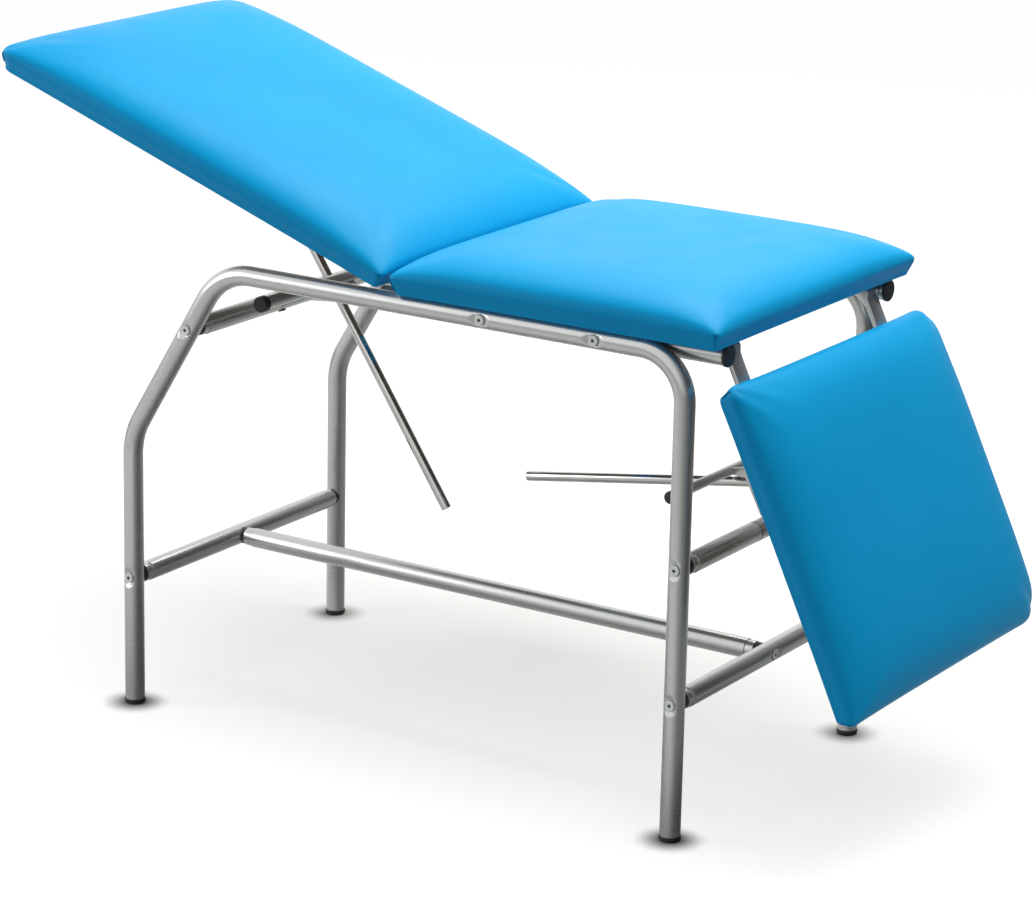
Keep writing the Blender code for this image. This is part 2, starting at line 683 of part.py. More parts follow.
# Back section, turned up about its hinge
back_pivot = empty("back_pivot", (BACK_HINGE_X, 0.0, hinge_z), BACK_ANGLE)
back_at = (-BACK_PAD_START - BACK_PAD_LENGTH / 2, 0.0, -BACK_HINGE_RISE)
board("back_board", BACK_PAD_LENGTH, back_at, back_pivot)
cushion("back_pad", BACK_PAD_LENGTH, PAD_CROWN, back_at, back_pivot)
back_clevis = section_frame("back_frame", back_pivot, BACK_EYE_Y, HINGE_EYE_D, HINGE_PIN_D, LUG_T + FIT,
                            BACK_STRAP_L, -BACK_HINGE_RISE, -1, BACK_CLEVIS_X)

# Leg section, turned down about its hinge
leg_pivot = empty("leg_pivot", (LEG_HINGE_X, 0.0, RAIL_Z), LEG_ANGLE)
leg_at = (LEG_PAD_START + LEG_PAD_LENGTH / 2, 0.0, LEG_BOARD_Z)
board("leg_board", LEG_PAD_LENGTH, leg_at, leg_pivot)
cushion("leg_pad", LEG_PAD_LENGTH, LEG_PAD_CROWN, leg_at, leg_pivot)
leg_clevis = section_frame("leg_frame", leg_pivot, LEG_EYE_Y, LEG_EYE_D, LEG_PIN_D, LEG_PIN_REACH,
                           LEG_STRAP_L, LEG_BOARD_Z, 1, LEG_CLEVIS_X)


def turned_point(pivot, angle, point):
    return (pivot[0] + point[0] * math.cos(angle) + point[1] * math.sin(angle),
            pivot[1] - point[0] * math.sin(angle) + point[1] * math.cos(angle))


def support(label, pivot, pivot_angle, clevis, centre, offset, rod_l, sleeve_l, release, hand):
    # rod from the clevis past the sleeve at a set distance; clamp and release bar swing with it
    place = turned_point((pivot.location.x, pivot.location.z), pivot_angle, clevis)
    dx, dz = centre[0] - place[0], centre[1] - place[1]
    reach = math.hypot(dx, dz)
    heading = math.atan2(dz, dx) + hand * math.asin(min(1.0, offset / reach))
    rod_r = ROD_D / 2

    rod_pivot = empty(f"{label}_rod_pivot", (clevis[0], 0.0, clevis[1]), -heading - pivot_angle, pivot)
    start, solid, bore = ROD_EYE_D * 0.2, ROD_EYE_D * 1.5, rod_r - ROD_WALL
    rod = [(start, 0.0), (start, rod_r), (rod_l, rod_r), (rod_l, bore), (solid, bore), (solid, 0.0)]
    body = add(f"{label}_rod", turned(rod, PIN_SIDES, "X"), CHROME, parent=rod_pivot)
    eye = turned(rod_profile(-rod_r, rod_r, ROD_EYE_D / 2), PIN_SIDES, "Y")
    combine(body, tool(f"{label}_rod_eye", eye, parent=rod_pivot), "UNION")
    pin_l = CLEVIS_Y + CLEVIS_T + PIN_END
    pin = turned(rod_profile(-pin_l, pin_l, ROD_PIN_D / 2), PIN_SIDES, "Y")
    combine(body, tool(f"{label}_rod_pin", pin, parent=rod_pivot), "UNION")

    lock_angle = -(heading + hand * math.pi / 2)
    lock_pivot = empty(f"{label}_lock_pivot", (centre[0], 0.0, centre[1]), lock_angle)
    half = sleeve_l / 2 - FIT
    sleeve = turned(pipe_profile(-half, half, CROSS_R, bore_radius(AXLE_D, TUBE_SIDES)), TUBE_SIDES)
    lock = add(f"{label}_clamp", sleeve, PAINT, parent=lock_pivot)
    bar_d, bar_l, bar_clear, bar_along, lever_side = release
    bar_r = bar_d / 2
    bar_x = offset + rod_r + bar_clear + bar_r
    bar_z = -hand * bar_along
    pin_x = max(bar_x - PIN_END, offset + rod_r + bar_clear + LEVER_PIN_D / 2 + FIT)
    pin_z = bar_z + hand * lever_side * math.sqrt(LEVER_LENGTH ** 2 - (bar_x - pin_x) ** 2)
    root_x, root_z = CROSS_R - CHEEK_SINK, CROSS_R * 0.8
    eye_r = LEVER_EYE_D / 2
    cheek = [(root_x, root_z), (root_x, -root_z)] + arc(pin_x, pin_z, eye_r, -100.0, 100.0, 8)
    for sign in (-1, 1):
        low, high = sorted((sign * CHEEK_Y, sign * (CHEEK_Y + CHEEK_T)))
        side_plate = tool(f"{label}_cheek_{sign}", plate(cheek, low, high), parent=lock_pivot)
        combine(lock, side_plate, "UNION")
    pin_l = LEVER_Y + CHEEK_T + PIN_END
    pin = rod_profile(-pin_l, pin_l, LEVER_PIN_D / 2)
    pin = turned(pin, PIN_SIDES, "Y", None, (pin_x, 0.0, pin_z))
    combine(lock, tool(f"{label}_lever_pin", pin, parent=lock_pivot), "UNION")

    bar_pivot = empty(f"{label}_bar_pivot", (pin_x, 0.0, pin_z), 0.0, lock_pivot)
    bx, bz = bar_x - pin_x, bar_z - pin_z
    pipe = pipe_profile(-bar_l / 2, bar_l / 2, bar_r, bar_r - BAR_WALL)
    pipe = turned(pipe, PIN_SIDES, "Y", None, (bx, 0.0, bz))
    bar = add(f"{label}_release_bar", pipe, PAINT, parent=bar_pivot)
    back = math.degrees(math.atan2(-bz, -bx))
    ahead = back + 180.0
    lever = arc(0.0, 0.0, eye_r, ahead + 90.0, ahead + 270.0, 8)
    lever += list(reversed(arc(bx, bz, bar_r - BAR_WALL * 0.5, back - 48.0, back + 48.0, 6)))
    for sign in (-1, 1):
        low, high = sorted((sign * LEVER_Y, sign * (LEVER_Y + CHEEK_T)))
        arm = tool(f"{label}_lever_{sign}", plate(lever, low, high), parent=bar_pivot)
        combine(bar, arm, "UNION")
    span = LEVER_Y + CHEEK_T + OVER
    bore = turned(rod_profile(-span, span, bore_radius(LEVER_PIN_D, PIN_SIDES)), PIN_SIDES, "Y")
    combine(bar, tool(f"{label}_lever_bore", bore, parent=bar_pivot), "DIFFERENCE")
    for side, sign in SIDES:
        end = sign * (bar_l / 2 + FIT + FERRULE_END)
        lip = sign * (bar_l / 2 + FIT + FERRULE_END - FERRULE_L)
        seat = sign * (bar_l / 2 + FIT)
        inside = bar_r + FIT
        outside = inside + FERRULE_WALL
        cup = [(end, 0.0), (end, outside), (lip, outside), (lip, inside), (seat, inside), (seat, 0.0)]
        cup = turned(cup, PIN_SIDES, "Y", None, (bx, 0.0, bz))
        add(f"{label}_bar_cap_{side}", cup, BLACK, parent=bar_pivot)


head_release = (HEAD_BAR_D, HEAD_BAR_L, HEAD_BAR_CLEAR, HEAD_BAR_ALONG, HEAD_LEVER_SIDE)
foot_release = (FOOT_BAR_D, FOOT_BAR_L, FOOT_BAR_CLEAR, FOOT_BAR_ALONG, FOOT_LEVER_SIDE)
support("head", back_pivot, BACK_ANGLE, back_clevis, (UPPER_X, UPPER_Z),
        HEAD_ROD_OFFSET, HEAD_ROD_L, HEAD_SLEEVE_L, head_release, 1)
support("foot", leg_pivot, LEG_ANGLE, leg_clevis, (FOOT_LEG_X, MID_Z),
        FOOT_ROD_OFFSET, FOOT_ROD_L, FOOT_SLEEVE_L, foot_release, -1)
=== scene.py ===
import math

import bmesh
import bpy
from mathutils import Matrix, Vector
from mathutils.bvhtree import BVHTree


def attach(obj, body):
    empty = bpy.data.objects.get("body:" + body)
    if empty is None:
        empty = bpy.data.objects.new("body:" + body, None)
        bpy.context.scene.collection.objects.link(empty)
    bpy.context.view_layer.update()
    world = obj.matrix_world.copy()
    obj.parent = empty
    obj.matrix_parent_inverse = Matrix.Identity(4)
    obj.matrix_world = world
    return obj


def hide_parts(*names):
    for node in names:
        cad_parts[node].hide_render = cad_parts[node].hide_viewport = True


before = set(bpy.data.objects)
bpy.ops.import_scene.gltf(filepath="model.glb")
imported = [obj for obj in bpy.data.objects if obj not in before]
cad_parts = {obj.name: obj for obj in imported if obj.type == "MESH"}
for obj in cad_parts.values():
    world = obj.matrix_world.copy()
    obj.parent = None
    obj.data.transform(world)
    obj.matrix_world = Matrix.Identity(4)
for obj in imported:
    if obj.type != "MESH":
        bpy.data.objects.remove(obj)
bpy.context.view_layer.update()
scene = bpy.context.scene
print("frame loaded,", len(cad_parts), "nodes")


# Main sizes of the couch, shared by most pieces
couch = {
    "headLeg": -0.5415,
    "footLeg": 0.4755,
    "halfWidth": 0.2812,
    "railHeight": 0.7503,
    "lowHeight": 0.2165,
    "midHeight": 0.4263,
    "upper": (-0.424554, 0.6483),
    "tube": 0.016,
    "lean": 31.2,
    "kinkHeight": 0.4552,
    "bends": (0.12, 0.10, 0.075),
    "bendStep": 3.0,
    "footTop": 0.0083,
    "railScrews": (0.1267, 0.3254),
    "saddle": 0.0193,
    "sides": 80,
}
sideSigns = (("near", -1), ("far", 1))
legEnds = (("head", couch["headLeg"], -1), ("foot", couch["footLeg"], 1))
leaning = math.radians(couch["lean"])
upright = (0.0, 0.0, 1.0)
legScrews = (
    ("head_low", couch["headLeg"], couch["lowHeight"], upright),
    ("head_upper", *couch["upper"], (math.sin(leaning), 0.0, math.cos(leaning))),
    ("foot_mid", couch["footLeg"], couch["midHeight"], upright),
    ("foot_low", couch["footLeg"], couch["lowHeight"], upright),
)


def linkObject(name, data):
    made = bpy.data.objects.new(name, data)
    scene.collection.objects.link(made)
    return made


def linkMesh(name, bm):
    mesh = bpy.data.meshes.new(name)
    bm.to_mesh(mesh)
    bm.free()
    return linkObject(name, mesh)


# Camera, in the photograph's place
viewSettings = {
    "place": (3.0630, -4.7828, 2.1083),
    "right": (0.83935667, 0.54317857, 0.02091449),
    "up": (-0.16822505, 0.22298152, 0.96019767),
    "lens": 129.66,
    "sensor": 36.0,
    "reach": 60.0,
}


def placeCamera(settings):
    camera = bpy.data.cameras.new("viewCamera")
    camera.lens = settings["lens"]
    camera.sensor_width = settings["sensor"]
    camera.sensor_fit = "HORIZONTAL"
    camera.clip_end = settings["reach"]
    right, up = Vector(settings["right"]), Vector(settings["up"])
    turn = Matrix((right, up, right.cross(up))).transposed().to_4x4()
    holder = linkObject("viewCamera", camera)
    holder.matrix_world = Matrix.Translation(settings["place"]) @ turn
    scene.camera = holder


placeCamera(viewSettings)


# Short ways to add nodes
def addNode(tree, kind, inputs=None, **traits):
    made = tree.nodes.new(kind)
    for trait, value in traits.items():
        setattr(made, trait, value)
    for socket, value in (inputs or {}).items():
        if isinstance(value, bpy.types.NodeSocket):
            tree.links.new(value, made.inputs[socket])
        else:
            made.inputs[socket].default_value = value
    return made


def mathNode(tree, operation, first, second=0.0):
    return addNode(tree, "ShaderNodeMath", {0: first, 1: second}, operation=operation).outputs[0]


def vectorNode(tree, operation, first, second=(0.0, 0.0, 0.0)):
    return addNode(tree, "ShaderNodeVectorMath", {0: first, 1: second}, operation=operation).outputs


def gradeNode(tree, value, span, tones):
    return addNode(tree, "ShaderNodeMapRange", {
        "Value": value, "From Min": span[0], "From Max": span[1], "To Min": tones[0], "To Max": tones[1],
    }, interpolation_type="SMOOTHSTEP").outputs["Result"]


def mixShaders(tree, factor, first, second):
    return addNode(tree, "ShaderNodeMixShader", {0: factor, 1: first, 2: second}).outputs[0]


def seenRays(tree, path):
    return mathNode(tree, "MAXIMUM", path["Is Camera Ray"], path["Is Transmission Ray"])


# Studio: soft light from above and the left, pale floor with painted shade round the couch, a room that
# darkens to the right in the metal
studioSettings = {
    "overhead": {"place": (0.35, 0.75, 3.2), "aim": (0.0, 0.0, 0.6), "size": (3.4, 2.2), "watts": 115.0,
                 "tint": (0.98, 1.035, 0.945)},
    "leftFill": {"place": (-3.4, -2.6, 1.7), "aim": (0.0, 0.0, 0.5), "size": (1.8, 2.0), "watts": 46.0,
                 "tint": (1.0, 1.0, 1.0)},
    "fill": 0.30,
    "room": (1.12, 0.06),
    "roomToward": (0.90, 0.35, 0.10),
    "roomSpan": (-0.15, 0.92),
    "floorSize": 24.0,
    "floorTone": 0.40,
    "floorBounce": 0.46,
    # painted light and shade of the floor as the metal mirrors it
    "floorMirrorShade": (0.84, 0.22),
    "floorMirrorSpan": (-0.60, 0.90),
    # painted contact shadows round the feet
    "footShadowReach": (0.012, 0.062),
    # painted shade: the floor's glow is weakest near the couch, so the floor darkens round it
    "floorShadeGlow": (0.166, 0.85),
    "floorShadeCentre": (-0.13, 0.33, 0.0),
    "floorShadeStretch": (0.43, 1.0, 1.0),
    "floorShadeReach": (-0.51, 0.92),
    "feet": [(x, sign * couch["halfWidth"], 0.0) for end, x, outward in legEnds for side, sign in sideSigns],
}


def softLamp(name, lamp):
    light = bpy.data.lights.new(name, "AREA")
    light.shape = "RECTANGLE"
    light.size, light.size_y = lamp["size"]
    light.energy = lamp["watts"]
    light.color = lamp["tint"]
    toward = Vector(lamp["aim"]) - Vector(lamp["place"])
    turn = toward.to_track_quat("-Z", "Y").to_matrix().to_4x4()
    linkObject(name, light).matrix_world = Matrix.Translation(lamp["place"]) @ turn


def makeWorld(settings):
    world = bpy.data.worlds.new("studio")
    scene.world = world
    world.use_nodes = True
    tree = world.node_tree
    tree.nodes.clear()
    path = addNode(tree, "ShaderNodeLightPath").outputs
    ray = addNode(tree, "ShaderNodeTexCoord").outputs["Generated"]
    facing = vectorNode(tree, "DOT_PRODUCT", ray, Vector(settings["roomToward"]).normalized())["Value"]
    shade = gradeNode(tree, facing, settings["roomSpan"], settings["room"])
    fill, white, room = [
        addNode(tree, "ShaderNodeBackground", {"Color": (1, 1, 1, 1), "Strength": strength}).outputs[0]
        for strength in (settings["fill"], 1.0, shade)]
    unseen = mixShaders(tree, path["Is Glossy Ray"], fill, room)
    mix = mixShaders(tree, seenRays(tree, path), unseen, white)
    addNode(tree, "ShaderNodeOutputWorld", {"Surface": mix})


def makeFloor(settings):
    bm = bmesh.new()
    bmesh.ops.create_grid(bm, x_segments=2, y_segments=2, size=settings["floorSize"])
    floor = linkMesh("studioFloor", bm)
    finish = bpy.data.materials.new("paleFloor")
    finish.use_nodes = True
    tree = finish.node_tree
    tree.nodes.clear()
    path = addNode(tree, "ShaderNodeLightPath").outputs
    place = addNode(tree, "ShaderNodeTexCoord").outputs["Object"]
    # painted shade: the camera-ray glow grows outward from the couch in an oval, darkening the floor round
    # the couch and lifting the far floor to white
    arm = vectorNode(tree, "SUBTRACT", place, settings["floorShadeCentre"])["Vector"]
    oval = vectorNode(tree, "MULTIPLY", arm, settings["floorShadeStretch"])["Vector"]
    away = vectorNode(tree, "LENGTH", oval)["Value"]
    paintedShadeGlow = gradeNode(tree, away, settings["floorShadeReach"], settings["floorShadeGlow"])
    # painted contact shadow: the floor's glow softly darker round each foot
    for foot in settings["feet"]:
        gap = vectorNode(tree, "DISTANCE", place, foot)["Value"]
        paintedShadeGlow = mathNode(tree, "MULTIPLY", paintedShadeGlow, gradeNode(tree, gap, settings["footShadowReach"], (0.0, 1.0)))
    # painted light and shade in the floor for glossy rays only: bright to the left, dim to the right, as the
    # metal mirrors it
    ray = addNode(tree, "ShaderNodeNewGeometry").outputs["Incoming"]
    facing = vectorNode(tree, "DOT_PRODUCT", ray, -Vector(settings["roomToward"]).normalized())["Value"]
    mirrorShade = gradeNode(tree, facing, settings["floorMirrorSpan"], settings["floorMirrorShade"])
    tone, bounce = settings["floorTone"], settings["floorBounce"]
    matt, soft, mirrored = [
        addNode(tree, "ShaderNodeBsdfDiffuse", {"Color": colour}).outputs[0]
        for colour in ((tone, tone, tone, 1), (bounce, bounce, bounce, 1), mirrorShade)]
    glow = addNode(tree, "ShaderNodeEmission", {"Color": (1, 1, 1, 1), "Strength": paintedShadeGlow}).outputs[0]
    both = addNode(tree, "ShaderNodeAddShader", {0: matt, 1: glow}).outputs[0]
    dull = mixShaders(tree, path["Is Glossy Ray"], soft, mirrored)
    mix = mixShaders(tree, seenRays(tree, path), dull, both)
    addNode(tree, "ShaderNodeOutputMaterial", {"Surface": mix})
    floor.data.materials.append(finish)


softLamp("overheadSoftbox", studioSettings["overhead"])
softLamp("leftSoftbox", studioSettings["leftFill"])
makeWorld(studioSettings)
makeFloor(studioSettings)
print("studio ready")


# Shared surface effects
def newGroup(name, sizes, results):
    group = bpy.data.node_groups.new(name, "ShaderNodeTree")
    group.interface.new_socket("Place", in_out="INPUT", socket_type="NodeSocketVector")
    for label, value in sizes.items():
        socket = group.interface.new_socket(label, in_out="INPUT", socket_type="NodeSocketFloat")
        socket.default_value = value
    for label in results:
        group.interface.new_socket(label, in_out="OUTPUT", socket_type="NodeSocketFloat")
    return group, group.nodes.new("NodeGroupInput").outputs, group.nodes.new("NodeGroupOutput").inputs


def makeFineGrain():
    # small pebbled relief and its mask, for vinyl, paint flake and moulded plastic
    group, given, out = newGroup("fineGrain", {"Scale": 800.0, "Soften": 0.6}, ("Height", "Mask"))
    place, scale = given["Place"], given["Scale"]
    cells = addNode(group, "ShaderNodeTexVoronoi", {
        "Vector": place, "Scale": scale, "Smoothness": given["Soften"]}, feature="SMOOTH_F1")
    finer = mathNode(group, "MULTIPLY", scale, 2.3)
    noise = addNode(group, "ShaderNodeTexNoise", {"Vector": place, "Scale": finer, "Detail": 2.0})
    speck = noise.outputs["Fac"]
    group.links.new(mathNode(group, "ADD", cells.outputs["Distance"], speck), out["Height"])
    group.links.new(speck, out["Mask"])
    return group


def makeSoftCloud():
    # slow change of tone over a surface: handling, tension, uneven spray
    group, given, out = newGroup("softCloud", {"Scale": 6.0, "Low": 0.0, "High": 1.0}, ("Tone",))
    noise = addNode(group, "ShaderNodeTexNoise", {
        "Vector": given["Place"], "Scale": given["Scale"], "Detail": 3.0, "Roughness": 0.45})
    spread = addNode(group, "ShaderNodeMapRange", {
        "Value": noise.outputs["Fac"], "From Min": 0.3, "From Max": 0.7,
        "To Min": given["Low"], "To Max": given["High"]})
    group.links.new(spread.outputs["Result"], out["Tone"])
    return group


fineGrain = makeFineGrain()
softCloud = makeSoftCloud()


# Finishes: roughness is (cloud scale, low, high), grain (scale, soften), bump (strength, distance)
finishSettings = {
    "blueVinyl": {
        "slot": "blue_vinyl",
        "tones": ((0.001, 0.317, 0.685), (0.002, 0.341, 0.720)),
        "cloud": 5.0,
        "roughness": (14.0, 0.36, 0.43),
        "grain": (820.0, 0.5),
        "bump": (0.10, 0.0004),
        "inputs": {"IOR": 1.20},
    },
    "silverPaint": {
        "slot": "silver_paint",
        "tones": ((0.545, 0.55, 0.548), (0.565, 0.57, 0.568)),
        "roughness": (18.0, 0.27, 0.29),
        "grain": (1500.0, 0.3),
        "bump": (0.004, 0.0003),
        "inputs": {"Metallic": 0.86, "Coat Weight": 0.25, "Coat Roughness": 0.2},
    },
    "chromePlate": {
        "slot": "chrome",
        "tones": ((0.52, 0.51, 0.505), (0.62, 0.61, 0.60)),
        "cloud": 20.0,
        "roughness": (80.0, 0.03, 0.07),
        "inputs": {"Metallic": 1.0},
    },
    "zincScrew": {
        "slot": "zinc_steel",
        "tones": ((0.72, 0.75, 0.73), (0.86, 0.88, 0.86)),
        "cloud": 300.0,
        "roughness": (1200.0, 0.30, 0.40),
        "inputs": {"Metallic": 0.35},
    },
    "blackPlastic": {
        "slot": "black_plastic",
        "tones": ((0.010, 0.010, 0.011), (0.022, 0.022, 0.024)),
        "roughness": (60.0, 0.42, 0.55),
        "grain": (1400.0, 0.4),
        "bump": (0.12, 0.0003),
    },
    "plyBoard": {
        "tones": ((0.13, 0.10, 0.075), (0.24, 0.19, 0.145)),
        "figure": (9.0, 90.0, 90.0),
        "roughness": (12.0, 0.52, 0.68),
        "bump": (0.2, 0.0006),
    },
}
# painted shade: near-black blue for the strips in the pleats' creases
finishSettings["creaseShadeVinyl"] = {
    **finishSettings["blueVinyl"], "tones": ((0.001, 0.030, 0.080), (0.001, 0.040, 0.100))}


def makeFinish(name, settings):
    # the tone follows a cloud, the grain's mask or stretched wood figure
    finish = bpy.data.materials.new(name)
    finish.use_nodes = True
    tree = finish.node_tree
    shader = tree.nodes["Principled BSDF"].inputs
    place = addNode(tree, "ShaderNodeTexCoord").outputs["Object"]

    def cloud(scale, low, high):
        sizes = {"Place": place, "Scale": scale, "Low": low, "High": high}
        return addNode(tree, "ShaderNodeGroup", sizes, node_tree=softCloud).outputs["Tone"]

    factor = height = None
    if "grain" in settings:
        scale, soften = settings["grain"]
        sizes = {"Place": place, "Scale": scale, "Soften": soften}
        grain = addNode(tree, "ShaderNodeGroup", sizes, node_tree=fineGrain).outputs
        factor, height = grain["Mask"], grain["Height"]
    if "figure" in settings:
        stretch = addNode(tree, "ShaderNodeMapping", {"Vector": place, "Scale": settings["figure"]})
        figure = addNode(tree, "ShaderNodeTexNoise", {
            "Vector": stretch.outputs[0], "Scale": 1.0, "Detail": 5.0})
        factor = height = figure.outputs["Fac"]
    if "cloud" in settings:
        factor = cloud(settings["cloud"], 0.0, 1.0)
    first, second = settings["tones"]
    tone = addNode(tree, "ShaderNodeMix", {0: factor, 6: (*first, 1.0), 7: (*second, 1.0)}, data_type="RGBA")
    tree.links.new(tone.outputs[2], shader["Base Color"])
    tree.links.new(cloud(*settings["roughness"]), shader["Roughness"])
    if height is not None:
        strength, distance = settings["bump"]
        bump = addNode(tree, "ShaderNodeBump", {"Strength": strength, "Distance": distance, "Height": height})
        tree.links.new(bump.outputs[0], shader["Normal"])
    for label, value in settings.get("inputs", {}).items():
        shader[label].default_value = value
    return finish


finishes = {name: makeFinish(name, settings) for name, settings in finishSettings.items()}
print("finishes ready")


# Shapes that several pieces share
def settle(name, bm, finish, nodes=(), body="base", smooth=38.0):
    bmesh.ops.recalc_face_normals(bm, faces=bm.faces)
    piece = linkMesh(name, bm)
    piece.data.materials.append(finishes[finish])
    piece.data.shade_smooth()
    piece.data.set_sharp_from_angle(angle=math.radians(smooth))
    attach(piece, body)
    if nodes:
        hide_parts(*nodes)
    return piece


def axisPlace(origin, direction):
    turn = Vector(direction).to_track_quat("Z", "Y").to_matrix().to_4x4()
    return Matrix.Translation(origin) @ turn


def swingPlace(spot, degrees):
    return Matrix.Translation((spot[0], 0.0, spot[1])) @ Matrix.Rotation(math.radians(degrees), 4, "Y")


def eased(points, ease, steps=4):
    # rounds the inner corners of a profile
    result = [points[0]]
    for k in range(1, len(points) - 1):
        corner = Vector(points[k])
        before, after = Vector(points[k - 1]) - corner, Vector(points[k + 1]) - corner
        reach = min(ease, before.length * 0.45, after.length * 0.45)
        start, end = corner + before.normalized() * reach, corner + after.normalized() * reach
        for i in range(steps + 1):
            t = i / steps
            result.append(tuple(start * (1 - t) ** 2 + corner * 2 * t * (1 - t) + end * t ** 2))
    result.append(points[-1])
    return result


def barProfile(start, end, radius, ease):
    return eased([(start, 0.0), (start, radius), (end, radius), (end, 0.0)], ease)


def bridge(bm, first, second, closed=True):
    for k in range(len(first) if closed else len(first) - 1):
        n = (k + 1) % len(first)
        bm.faces.new((first[k], first[n], second[n], second[k]))


def turnShape(bm, profile, place, sides=56):
    # profile of (along, radius), from the axis back to the axis
    rings = []
    for along, radius in profile:
        if radius < 1e-7:
            rings.append([bm.verts.new(place @ Vector((0, 0, along)))])
            continue
        ring = []
        for i in range(sides):
            turn = 2 * math.pi * i / sides
            spot = Vector((radius * math.cos(turn), radius * math.sin(turn), along))
            ring.append(bm.verts.new(place @ spot))
        rings.append(ring)
    for a, b in zip(rings, rings[1:]):
        for i in range(sides):
            j = (i + 1) % sides
            if len(a) == 1:
                bm.faces.new((a[0], b[i], b[j]))
            elif len(b) == 1:
                bm.faces.new((a[i], b[0], a[j]))
            else:
                bm.faces.new((a[i], b[i], b[j], a[j]))
    return bm


def turnedPiece(name, profile, place, finish, nodes, body="base"):
    settle(name, turnShape(bmesh.new(), profile, place), finish, nodes, body)


def plateShape(bm, outline, span, place, ease, sign=1):
    # outline in X and Z, extruded across Y, edges eased
    low, high = sorted(sign * edge for edge in span)
    made = bmesh.new()
    face = made.faces.new([made.verts.new((x, low, z)) for x, z in outline])
    grown = bmesh.ops.extrude_face_region(made, geom=[face])
    moved = [g for g in grown["geom"] if isinstance(g, bmesh.types.BMVert)]
    bmesh.ops.translate(made, verts=moved, vec=(0.0, high - low, 0.0))
    bmesh.ops.recalc_face_normals(made, faces=made.faces)
    sharp = [e for e in made.edges if e.calc_face_angle(0.0) > math.radians(40)]
    bmesh.ops.bevel(
        made, geom=sharp, offset=ease, segments=3, profile=0.5, affect="EDGES", clamp_overlap=True)
    bmesh.ops.transform(made, matrix=place, verts=made.verts)
    fresh = {v: bm.verts.new(v.co) for v in made.verts}
    for face in made.faces:
        bm.faces.new([fresh[v] for v in face.verts])
    made.free()


def arcPoints(cx, cz, radius, start, end, steps):
    points = []
    for i in range(steps + 1):
        turn = math.radians(start + (end - start) * i / steps)
        points.append((cx + radius * math.cos(turn), cz + radius * math.sin(turn)))
    return points


def softMin(a, b, width):
    near = max(width - abs(a - b), 0.0) / width
    return min(a, b) - near * near * width * 0.25


# Pressed pockets round the screws; reach and step set the extra rings beside each
pocketSettings = {
    "depth": 0.0027,
    "halfLength": 0.0200,
    "flat": 0.0085,
    "well": 0.0093,
    "wellDepth": 0.0010,
    "wellEase": 0.0012,
    "round": 0.0008,
    "reach": 0.0225,
    "step": 0.0009,
}


def pressPocket(verts, centre, along, outward, radius, settings):
    centre, along, outward = Vector(centre), Vector(along).normalized(), Vector(outward).normalized()
    across = along.cross(outward)
    long, flat = settings["halfLength"], settings["flat"]
    for v in verts:
        arm = v.co - centre
        s, t, n = arm.dot(along), arm.dot(across), arm.dot(outward)
        if abs(s) > long * 1.2 or n < radius * 0.4:
            continue
        ramp = min(1.0, max(0.0, (abs(s) - flat) / (long - flat)))
        limit = radius - settings["depth"] * (1.0 - ramp * ramp * (3 - 2 * ramp) * 1.05)
        gap = math.hypot(s, t) - settings["well"]
        limit -= settings["wellDepth"] * min(1.0, max(0.0, 0.5 - gap / settings["wellEase"]))
        v.co += outward * (softMin(n, limit, settings["round"]) - n)


# Side frames: one bent tube each, pressed flat round the screws
def bentPath(corners, radii, step):
    path = [Vector(corners[0])]
    for k in range(1, len(corners) - 1):
        radius, corner = radii[k - 1], Vector(corners[k])
        before = (corner - Vector(corners[k - 1])).normalized()
        after = (Vector(corners[k + 1]) - corner).normalized()
        angle = before.angle(after)
        start = corner - before * radius * math.tan(angle / 2)
        side = Vector((-before.y, before.x))
        side = -side if side.dot(after) < 0 else side
        centre = start + side * radius
        count = max(2, round(angle / math.radians(step)))
        for i in range(count + 1):
            a = angle * i / count
            path.append(centre - side * radius * math.cos(a) + before * radius * math.sin(a))
    path.append(Vector(corners[-1]))
    return path


def denserPath(path, spots, reach, step):
    # extra rings on the straight runs beside each screw
    off, margin = 0.002, 0.0005
    count = round(reach / step)
    result = [path[0]]
    for a, b in zip(path, path[1:]):
        run = b - a
        marks = set()
        for spot in spots:
            at = (Vector(spot) - a).dot(run.normalized())
            if (a + run.normalized() * at - Vector(spot)).length <= off:
                marks.update(round(at + k * step, 6) for k in range(-count, count + 1))
        for mark in sorted(m for m in marks if margin < m < run.length - margin):
            result.append(a + run.normalized() * mark)
        result.append(b)
    return result


def sweepTube(path, radius, y, sides):
    bm = bmesh.new()
    rings = []
    for k, point in enumerate(path):
        ahead = path[min(k + 1, len(path) - 1)] - point
        behind = point - path[max(k - 1, 0)]
        run = (ahead.normalized() + behind.normalized()).normalized()
        side = Vector((-run.y, run.x))
        ring = []
        for i in range(sides):
            turn = 2 * math.pi * i / sides
            offset = side * (radius * math.cos(turn))
            ring.append(bm.verts.new((point.x + offset.x, y + radius * math.sin(turn), point.y + offset.y)))
        rings.append(ring)
    for a, b in zip(rings, rings[1:]):
        bridge(bm, a, b)
    bm.faces.new(rings[0])
    bm.faces.new(rings[-1])
    return bm


